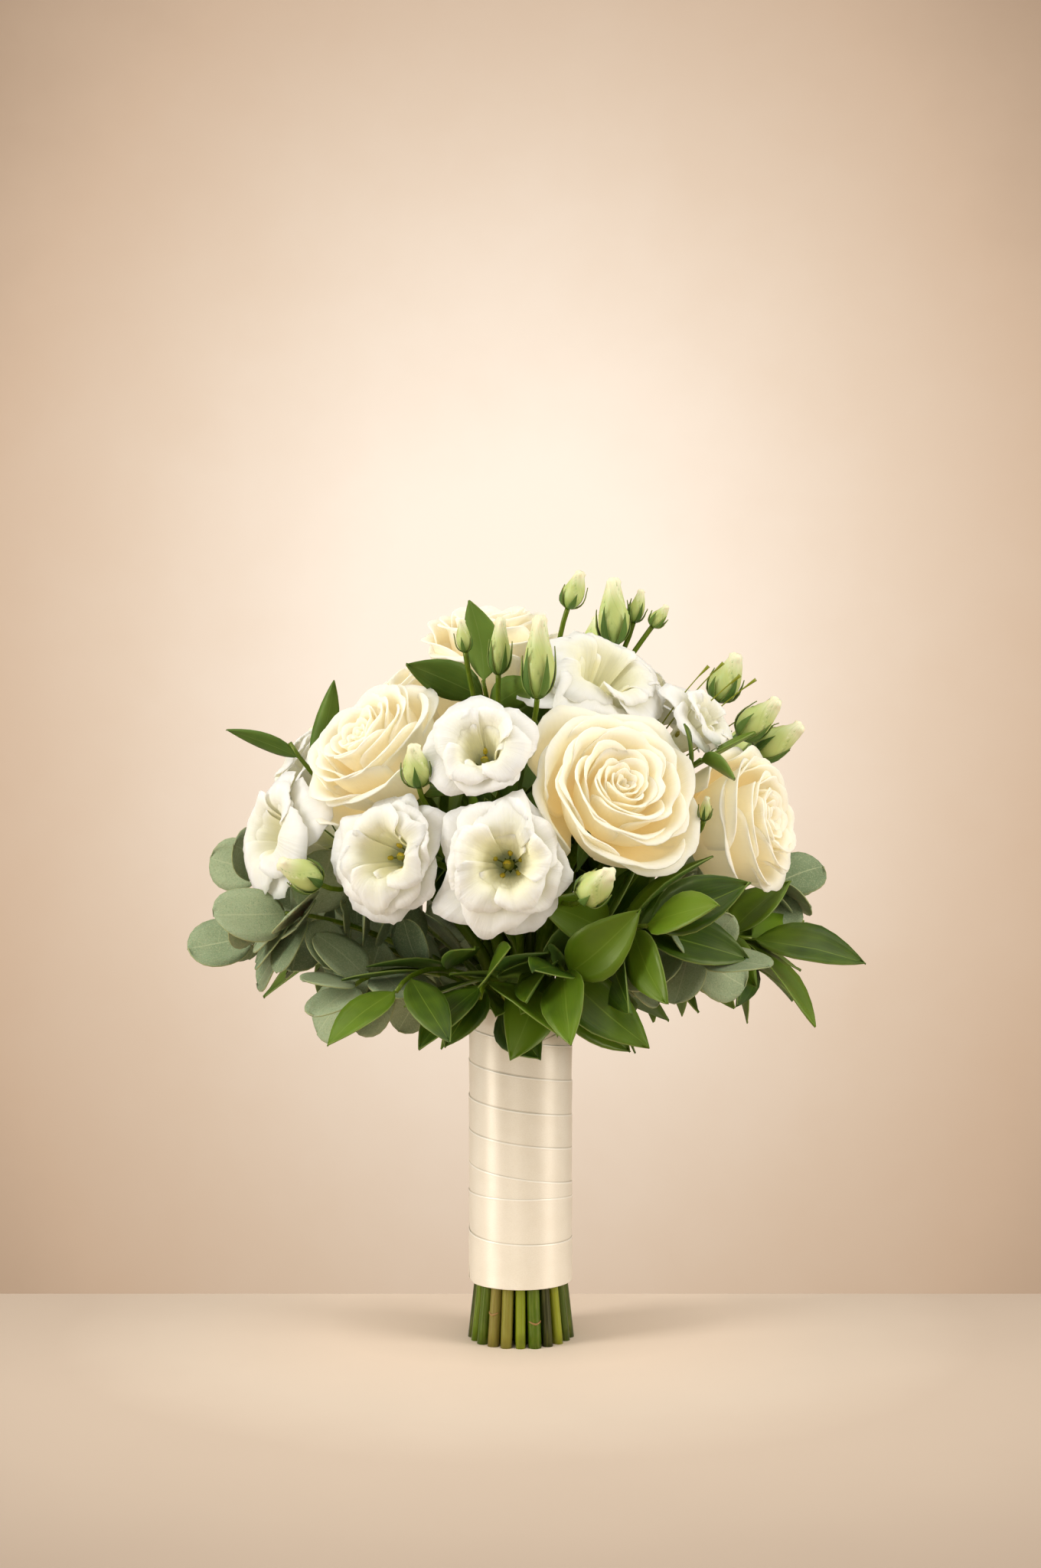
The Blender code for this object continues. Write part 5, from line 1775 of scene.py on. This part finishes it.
@dataclass
class Spray:
    """A leafy stem: its place in the bundle, where its tip is and how it arrives there.

    The tip lies at an azimuth, a reach from the middle line and a height, and the twig rises there
    by rise degrees. The solid has so many leaves of a length from the share start of the twig on,
    with their faces rolled about it, and slim narrows them. extra is how many leaves are added from
    the share first on, and aims are gaps that are each closed by one more.
    """

    name: str
    slot: float
    azimuth: float
    reach: float
    height: float
    rise: float
    roll: float
    leaves: int
    length: float
    start: float = 0.34
    ring: Ring = Ring.OUTER
    extra: int = 11
    slim: float = 1.0
    first: float = 0.10
    aims: tuple[Place, ...] = ()
    twig: Growth = field(default_factory=Growth, init=False)
    blades: Growth = field(default_factory=Growth, init=False)
    found: int = field(default=0, init=False)

    # How many places are tried for each leaf that is wanted, and for one that closes a gap.
    TRIES = 60
    AIM_TRIES = 400
    # How near a leaf's corners have to lie to corners of the solid's mesh.
    MATCH = 0.00005

    @property
    def kind(self) -> Foliage:
        """Its kind of leaf, which its name starts with."""
        return Foliage[self.name.partition("_")[0].upper()]

    def curve(self, count: int = COARSE) -> np.ndarray:
        """The middle line above the ribbon.

        Args:
            count: How many points it has.

        Returns:
            The points, one a row.
        """
        flat = heading(self.azimuth, 0)
        tip = flat * self.reach + UP * self.height
        way = flat * (0.9 if self.ring is Ring.OUTER else 0.0) + UP
        start = Bundle.straight(self.ring, self.slot)[-1]
        return bend(start, way, tip, heading(self.azimuth, self.rise), count, 0.8)

    def share(self, index: int) -> float:
        """How far along the curve a leaf grows."""
        return self.start + (1 - self.start) * index / (self.leaves - 1)

    def nominal_leaf(self, index: int, curve: np.ndarray) -> tuple[Leaf, np.ndarray, bool]:
        """A leaf before it makes way for its neighbours.

        Args:
            index: Which leaf.
            curve: The spray's middle line.

        Returns:
            The leaf, the way of the twig there, and whether it is the last.
        """
        share, kind = self.share(index), self.kind
        along = unit(part_way(curve, min(share + 0.05, 1)) - part_way(curve, share - 0.05))
        side = unit(np.cross(along, UP))
        up = turned(np.cross(side, along), along, self.roll + 14 * math.sin(2.4 * index + self.slot))
        side = unit(np.cross(along, up)) * (1 if index % 2 else -1)
        last = index == self.leaves - 1
        spread = math.radians(8 if last else kind.value.spread)
        way = unit(along * math.cos(spread) + side * math.sin(spread))
        length = self.length * (0.94 + 0.12 * math.sin(1.7 * index + self.slot))
        leaf = Leaf(kind, part_way(curve, share), way, up, length, length * kind.value.shape, 0.10)
        return leaf, along, last

    def tried_leaf(self, index: int, curve: np.ndarray, attempt: tuple[float, ...]) -> Leaf:
        """A leaf after it has made way for its neighbours.

        Args:
            index: Which leaf.
            curve: The spray's middle line.
            attempt: One of LEAF_TRIES.

        Returns:
            The leaf.
        """
        leaf, along, last = self.nominal_leaf(index, curve)
        swing, tip, roll, size = attempt
        leaf.way, leaf.up = turned(leaf.way, along, roll), turned(leaf.up, along, roll)
        leaf.way = turned(leaf.way, leaf.up, swing)
        across = np.cross(leaf.way, leaf.up)
        leaf.way, leaf.up = turned(leaf.way, across, tip), turned(leaf.up, across, tip)
        leaf.length *= size
        leaf.width *= size
        leaf.foot = leaf.foot - ROOTED * (0.6 * leaf.way + (0.9 if last else 0.4) * along)
        return leaf

    def solid_leaves(self) -> list[tuple[int, Leaf]]:
        """Finds the leaves of the solid again, by the corners that its mesh has.

        Returns:
            The number of each leaf and the leaf.
        """
        mesh = frame["nodes"][self.name].data
        tree = KDTree(len(mesh.vertices))
        for number, vertex in enumerate(mesh.vertices):
            tree.insert(vertex.co, number)
        tree.balance()
        curve, found = self.curve(), []
        for index in range(self.leaves):
            for attempt in LEAF_TRIES:
                leaf = self.tried_leaf(index, curve, attempt)
                if all(tree.find(Vector(corner))[2] < self.MATCH for corner in leaf.corners()[:4]):
                    found.append((index, leaf))
                    break
        return found

    def extra_leaf(self, rng: np.random.Generator, curve: np.ndarray, size: float) -> Leaf:
        """A leaf that the solid has no room for.

        Args:
            rng: Where it is drawn from.
            curve: The spray's middle line.
            size: Its size, as a share of what is drawn.

        Returns:
            The leaf.
        """
        share = rng.uniform(self.first, 0.98) if self.ring is Ring.OUTER else rng.uniform(0.80, 1.0)
        foot = part_way(curve, share)
        out = unit([foot[0], foot[1], 0.0])
        around = np.cross(UP, out) * rng.uniform(-1.1, 1.1)
        way = unit(out * rng.uniform(0.3, 1.0) + around + UP * rng.uniform(-0.75, 0.6))
        up = out * rng.uniform(0.5, 1.2) + UP * rng.uniform(0.1, 0.9)
        shape = rng.uniform(*self.kind.value.shapes)
        length = self.length * rng.uniform(*self.kind.value.lengths)
        width, arch = length * shape, rng.uniform(0.02, 0.22)
        return Leaf(self.kind, foot, way, up, length * size, width * size, arch)

    def build(self, thicket: "Thicket") -> None:
        """Models the spray's twig and the leaves that its solid has.

        Args:
            thicket: The room that is taken.
        """
        fine, coarse = self.curve(FINE), self.curve()
        radii = np.interp(np.linspace(0, 1, FINE), (0, 0.25, 1), (self.ring.value.thickness, 0.0014, 0.0008))
        Bundle.stalk(self.twig, self.ring, self.slot, fine, radii)
        thicket.take(fine)
        grown = self.solid_leaves()
        for index, leaf in grown:
            rng = np.random.default_rng(int(abs(self.azimuth) * 10 + self.height * 1e4) + index)
            leaf.width *= self.slim
            share = self.share(index)
            points = leaf.points(rng, part_way(fine, share) - part_way(coarse, share))
            self.blades.add(Pattern.sheet(*LEAF_SHEET), points, tone=rng.uniform(0, 1))
            thicket.take(points)
        self.found = len(grown)

    def reach_for(self, aim: np.ndarray, thicket: "Thicket") -> None:
        """Adds a leaf that closes a gap seen from the front.

        Args:
            aim: About where the leaf's tip ends.
            thicket: The room that is taken.
        """
        rng = np.random.default_rng(5)
        curve = self.curve(FINE)
        for _ in range(self.AIM_TRIES):
            foot = curve[rng.integers(10, 23)]
            tip = aim + rng.uniform(-0.006, 0.006, 3)
            length = float(np.linalg.norm(tip - foot))
            up = np.array([rng.uniform(-0.5, 0.5), -1.0, rng.uniform(0.0, 0.6)])
            leaf = Leaf(self.kind, foot, unit(tip - foot), up, length, length * rng.uniform(0.40, 0.50), 0.08)
            if leaf.sprout(rng, thicket, self.blades):
                log.info("%s: a leaf %.0f mm long reaches its gap", self.name, length * 1000)
                return

    def fill(self, thicket: "Thicket") -> None:
        """Adds the smaller leaves between those of the solid.

        Args:
            thicket: The room that is taken.
        """
        for aim in self.aims:
            self.reach_for(np.array(aim), thicket)
        rng = np.random.default_rng(int(abs(self.azimuth) * 7 + self.height * 2e4))
        curve, added, tries = self.curve(FINE), 0, self.TRIES * self.extra
        for attempt in range(tries):
            leaf = self.extra_leaf(rng, curve, 1 - self.kind.value.shrink * attempt / tries)
            added += leaf.sprout(rng, thicket, self.blades)
            if added == self.extra:
                break
        log.info("%s: %d of %d leaves of its solid, %d more", self.name, self.found, self.leaves, added)

    def finish(self) -> None:
        """Makes one piece of the spray and puts it on the bouquet."""
        piece = self.twig.piece("spray_" + self.name, [Finish.STEM])
        blades = self.blades.piece("leaves_" + self.name, self.kind.value.finishes)
        sides = {"material_offset": 1, "material_offset_rim": 0}
        apply_modifier(blades, "SOLIDIFY", thickness=0.0005, offset=0.0, **sides)
        join(piece, blades)
        fit(piece, self.kind.value.slot, self.name)


class Thicket:
    """The room that is taken, in small cells, so that added leaves stay clear of it."""

    # The side of a cell, the lowest place of a leaf, and how clear leaves stay of the ribbon.
    CELL = 0.0017
    LOWEST = 0.106
    CLEAR = 0.002

    def __init__(self, low: Sequence[float], high: Sequence[float]) -> None:
        """Starts with an empty box.

        Args:
            low: The box's lowest corner.
            high: Its highest corner.
        """
        self.low, self.high = np.array(low), np.array(high)
        self.taken = np.zeros(tuple(np.ceil((self.high - self.low) / self.CELL).astype(int) + 1), bool)

    def cells(self, points: np.ndarray) -> tuple[np.ndarray, ...]:
        """The cells that the points lie in."""
        inside = np.clip(points, self.low, self.high)
        return tuple(((inside - self.low) / self.CELL).astype(int).T)

    def take(self, points: np.ndarray) -> None:
        """Marks the cells of the points, and those between each point and the next."""
        self.taken[self.cells(points)] = True
        self.taken[self.cells((points[1:] + points[:-1]) / 2)] = True

    def take_piece(self, piece: bpy.types.Object) -> None:
        """Marks the room of a finished piece.

        Args:
            piece: The piece.
        """
        mesh = piece.data
        places = np.empty(3 * len(mesh.vertices), np.float32)
        mesh.vertices.foreach_get("co", places)
        self.taken[self.cells(places.reshape(-1, 3))] = True
        middles = np.array([face.center for face in mesh.polygons])
        self.taken[self.cells(middles)] = True

    def free(self, points: np.ndarray) -> bool:
        """Whether a leaf may be here: in the box, clear of the handle and of every other piece.

        Args:
            points: Places on the leaf.

        Returns:
            Whether all of them are free.
        """
        if (points < self.low).any() or (points > self.high).any() or (points[:, 2] < self.LOWEST).any():
            return False
        low = points[points[:, 2] < WRAP_TOP + self.CLEAR]
        if (np.hypot(low[:, 0], low[:, 1]) < WRAP_RADIUS + self.CLEAR).any():
            return False
        return not self.taken[self.cells(points)].any()


SPRAYS = (
    Spray("ruscus_front", 20, -12, 0.070, 0.139, -56, 0, 7, 0.040, 0.20, extra=3),
    Spray("ruscus_front_right", 1, 12, 0.078, 0.146, -40, 10, 7, 0.042, 0.20, extra=5),
    Spray("ruscus_under_rose", 2, 29, 0.092, 0.166, 4, 60, 7, 0.044, 0.26, aims=((0.052, -0.036, 0.189),)),
    Spray("eucalyptus_front_right", 3, 47, 0.092, 0.154, -20, 40, 7, 0.027, extra=15, first=0.4),
    Spray("ruscus_right", 5, 76, 0.091, 0.157, -10, 40, 6, 0.044),
    Spray("eucalyptus_right", 6, 97, 0.103, 0.176, 8, 50, 7, 0.026),
    Spray("ruscus_far_right", 7, 116, 0.094, 0.150, -20, 20, 6, 0.040),
    Spray("eucalyptus_back_right", 8, 134, 0.096, 0.170, 0, -40, 6, 0.026),
    Spray("ruscus_back_right", 9, 153, 0.078, 0.146, -34, 0, 6, 0.040),
    Spray("eucalyptus_back", 11, -172, 0.084, 0.158, -14, 30, 6, 0.026),
    Spray("ruscus_back_left", 12, -153, 0.078, 0.146, -34, 0, 6, 0.040),
    Spray("eucalyptus_back_left", 13, -136, 0.094, 0.166, -4, 40, 6, 0.026),
    Spray("ruscus_left", 14, -117, 0.094, 0.152, -20, -20, 6, 0.038, extra=5),
    Spray("eucalyptus_far_left", 15, -99, 0.103, 0.182, 16, -50, 7, 0.027),
    Spray("eucalyptus_left", 16, -81, 0.104, 0.158, -12, -40, 7, 0.026),
    Spray("eucalyptus_left_low", 17, -63, 0.098, 0.168, 2, -60, 7, 0.028, extra=18, first=0.5),
    Spray("eucalyptus_front_left", 18, -47, 0.084, 0.142, -34, -20, 7, 0.025, extra=20, first=0.5),
    Spray("ruscus_front_left", 19, -31, 0.086, 0.142, -44, -10, 6, 0.038, 0.24, extra=0, slim=0.8),
    Spray("ruscus_top", 4.7, -16, 0.050, 0.254, 50, 0, 4, 0.036, 0.90, Ring.INNER, 1),
    Spray("ruscus_upper_right", 2, 50, 0.086, 0.225, 30, 0, 3, 0.032, 0.90, Ring.MIDDLE, 2),
    Spray("ruscus_upper_left", 8, -81, 0.090, 0.232, 60, 60, 3, 0.036, 0.88, Ring.MIDDLE, 0, 0.55),
)


# Ribbon


@dataclass
class RibbonWrap:
    """The satin ribbon, wound down the handle in one long slanting band.

    Its turns lie pitch apart, and each leans in by taper over that height, under the turn above.
    """

    width: float = 0.019
    thickness: float = 0.00014
    taper: float = 0.00024
    pitch: float = 0.013
    turns: int = 8
    # Degrees of winding from the left side, and the height of the band's upper edge there.
    edge: tuple[tuple[float, float], ...] = (
        (0, 0.1295), (180, 0.1292), (360, 0.1225), (540, 0.1127), (720, 0.1094), (900, 0.0993),
        (1080, 0.0954), (1260, 0.0862), (1440, 0.0825), (1620, 0.0734), (1800, 0.0696), (1980, 0.0600),
        (2160, 0.0577), (2250, 0.0568), (2340, 0.0567), (2520, 0.0418), (2610, 0.0392), (2700, 0.0393),
        (2880, 0.0393),
    )
    # The lap at the start of the ribbon: degrees round from the front, and the height of its edge.
    lap: tuple[tuple[float, float], ...] = (
        (14, 0.1150), (17, 0.1172), (50, 0.1206), (90, 0.1228), (170, 0.1262),
    )

    # Degrees in a turn, and from the left side, where the winding starts, round to the front.
    TURN = 360
    LEFT = 90

    def height(self, winding: np.ndarray) -> np.ndarray:
        """Finds the height of the upper edge.

        Args:
            winding: Degrees of winding from the left side.

        Returns:
            The height there, eased between the places where it was read.
        """
        turns, heights = np.array(self.edge).T
        spread = np.linspace(-70, 70, 9)
        return np.mean([np.interp(winding + shift, turns, heights) for shift in spread], axis=0)

    def firm(self, across: np.ndarray) -> np.ndarray:
        """Places across the band, drawn close together at its two edges to keep them sharp."""
        return np.sign(across) * np.interp(np.abs(across), (0, 0.5, 0.76, 1), (0, 0.6, 0.985, 1))

    def around(self, degrees: np.ndarray, radius: np.ndarray, z: np.ndarray) -> np.ndarray:
        """Points on the handle, at degrees round from the front by the right."""
        angle = np.radians(degrees)
        return np.stack([radius * np.sin(angle), -radius * np.cos(angle), z], axis=-1)

    def build(self) -> None:
        """Models the ribbon: its sheet runs down the winding, with its width across the band."""
        growth, band, patch = Growth(), Pattern.sheet(*RIBBON_SHEET), Pattern.sheet(*LEAF_SHEET)
        final = self.TURN * (self.turns - 1)
        winding = self.TURN * self.turns * band.along
        upper = self.height(winding)
        wide = np.minimum(self.width, upper - WRAP_BOTTOM)
        down = (1 - self.firm(band.across)) / 2 * wide
        slow, quick = np.sin(np.radians(winding * 0.83)), np.sin(np.radians(winding * 2.1 + 40))
        uneven = 0.00012 * slow + 0.00010 * quick
        z = upper - down + uneven * (1 - smooth((winding - (final - 20)) / 200))
        slack = 0.00005 * np.sin(np.radians(3.7 * winding) + 160 * down)
        outermost = WRAP_RADIUS - self.thickness / 2
        last = smooth((winding - final) / 80)
        radius = outermost - self.taper * down / self.pitch * (1 - 0.8 * last) + slack
        # Millimetres above the upper edge of the turn below, which the satin turns into a painted shadow
        # line; the last turn has nothing below it.
        above = (z - self.height(winding + self.TURN)) * 1000 + 60 * (winding > final)
        places = self.around(winding - self.LEFT, radius, z)
        growth.add(band, places, across=self.firm(band.across), depth=above)
        first, end = self.lap[0][0], self.lap[-1][0]
        degrees = first + (end - first) * patch.along
        high = np.interp(degrees, *np.array(self.lap).T)
        low = np.minimum(self.height(degrees + (self.LEFT + self.TURN)) - 0.0015, high - 0.0002)
        z = low + (high - low) * (1 + self.firm(patch.across)) / 2
        below = self.height(degrees + self.LEFT) - z
        radius = outermost - self.taper * below / self.pitch + self.thickness * 1.1
        places = self.around(degrees, np.minimum(radius, outermost - 0.00003), z)
        # For the lap: millimetres below its upper edge, which the satin turns into a painted shadow line
        # along that edge.
        growth.add(patch, places, across=self.firm(patch.across), depth=(high - z) * 1000)
        piece = growth.piece("satin_ribbon_wrap", [Finish.SATIN])
        apply_modifier(piece, "SOLIDIFY", thickness=self.thickness, offset=0.0)
        fit(piece, "ribbon", "ribbon_wrap")


# Stage


@dataclass
class Studio:
    """A pale table before a pale wall, soft lights, and the camera of the photograph."""

    distance: float = 0.810
    eye: float = 0.216
    lens: float = 47.46
    table_edge: float = 0.068

    # Each light's name, place, aim, width and height, watts and colour.
    LIGHTS = (
        ("key", (-1.20, -0.54, 0.56), (0, 0, 0.16), (0.40, 1.2), 13, (1.0, 0.98, 0.95)),
        ("fill", (1.15, -0.52, 0.56), (0, 0, 0.15), (0.55, 1.2), 10, (1.0, 0.97, 0.94)),
        ("top", (0, -0.25, 1.5), (0, 0, 0.1), (1.4, 1.2), 7, (1.0, 0.99, 0.97)),
        ("front", (-0.30, -1.3, 0.05), (0, 0, 0.12), (0.5, 0.3), 1.5, (1.0, 0.98, 0.95)),
        ("glow", (0, 1.0, 0.72), (0, 2.6, 0.72), (0.5, 0.5), 18.6, (1.0, 0.96, 0.92)),
        ("low_glow", (0, 1.0, -0.40), (0, 2.6, -0.50), (0.8, 0.2), 4.2, (1.0, 0.64, 0.30)),
    )

    def slab(self, name: str, centre: Sequence[float], size: Sequence[float], finish: Finish) -> None:
        """Adds a board of the stage with a soft edge.

        Args:
            name: What it is called.
            centre: Its middle.
            size: Its width, depth and height.
            finish: Its finish.
        """
        nothing_selected()
        bpy.ops.mesh.primitive_cube_add(size=1, location=centre, scale=size)
        board = bpy.context.object
        board.name = name
        bpy.ops.object.transform_apply(location=True, rotation=True, scale=True)
        apply_modifier(board, "BEVEL", width=0.002, segments=3)
        board.data.materials.append(material_of(finish))
        board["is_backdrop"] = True

    def light(
        self, name: str, place: Place, aim: Place, size: tuple[float, float], power: float, colour: Colour
    ) -> None:
        """Adds a soft light.

        Args:
            name: What it is called.
            place: Where it hangs.
            aim: The point that it looks at.
            size: Its width and height.
            power: Its watts.
            colour: Its colour.
        """
        lamp = bpy.data.lights.new(name, "AREA")
        lamp.shape = "RECTANGLE"
        lamp.size, lamp.size_y = size
        lamp.energy, lamp.color = power, colour
        obj = new_object(name, lamp)
        obj.location = place
        obj.rotation_euler = (Vector(aim) - Vector(place)).to_track_quat("-Z", "Y").to_euler()

    def build(self) -> None:
        """Builds the stage, the lights and the camera."""
        self.slab("table", (0, self.table_edge - 1.0, -0.02), (5.0, 2.0, 0.04), Finish.TABLE)
        self.slab("wall", (0, 2.6, 0.5), (9.0, 0.05, 6.0), Finish.WALL)
        for light in self.LIGHTS:
            self.light(*light)
        world = bpy.data.worlds.new("room")
        world.use_nodes = True
        sockets = world.node_tree.nodes["Background"].inputs
        sockets["Color"].default_value = (0.95, 0.90, 0.83, 1)
        sockets["Strength"].default_value = 0.62
        bpy.context.scene.world = world
        bpy.context.scene.view_settings.view_transform = "Standard"
        camera = bpy.data.cameras.new("camera")
        camera.lens = self.lens
        obj = new_object("camera", camera)
        obj.location = (0, -self.distance, self.eye)
        obj.rotation_euler = (math.pi / 2, 0, 0)
        bpy.context.scene.camera = obj


def main() -> None:
    """Builds every part of the bouquet in order."""
    logging.basicConfig(level=logging.INFO, format="%(name)s: %(message)s")
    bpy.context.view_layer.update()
    Studio().build()
    RibbonWrap().build()
    pieces = [bloom.build() for bloom in BLOOMS]
    for bloom in BLOOMS:
        if isinstance(bloom, Lisianthus):
            bloom.build_heart()
    thicket = Thicket(*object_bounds())
    for piece in pieces:
        thicket.take_piece(piece)
    for stem in STEMS:
        stem.build(thicket)
    for spray in SPRAYS:
        spray.build(thicket)
    for stem in STEMS:
        stem.fill(thicket, stem.large, 1.0)
    for spray in sorted(SPRAYS, key=lambda spray: spray.kind.value.slot):
        spray.fill(thicket)
        spray.finish()
    for stem in STEMS:
        stem.fill(thicket, stem.small, 0.75)
        stem.finish()
    tape = frame["nodes"]["binding_tape"]
    tape.data.materials.clear()
    tape.data.materials.append(material_of(Finish.TAPE))
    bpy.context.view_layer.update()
    meshes = [obj.data for obj in bpy.data.objects if obj.type == "MESH"]
    triangles = sum(len(face.vertices) - 2 for mesh in meshes for face in mesh.polygons)
    log.info("%d triangles in the whole scene, solids included", triangles)


if __name__ == "__main__":
    main()
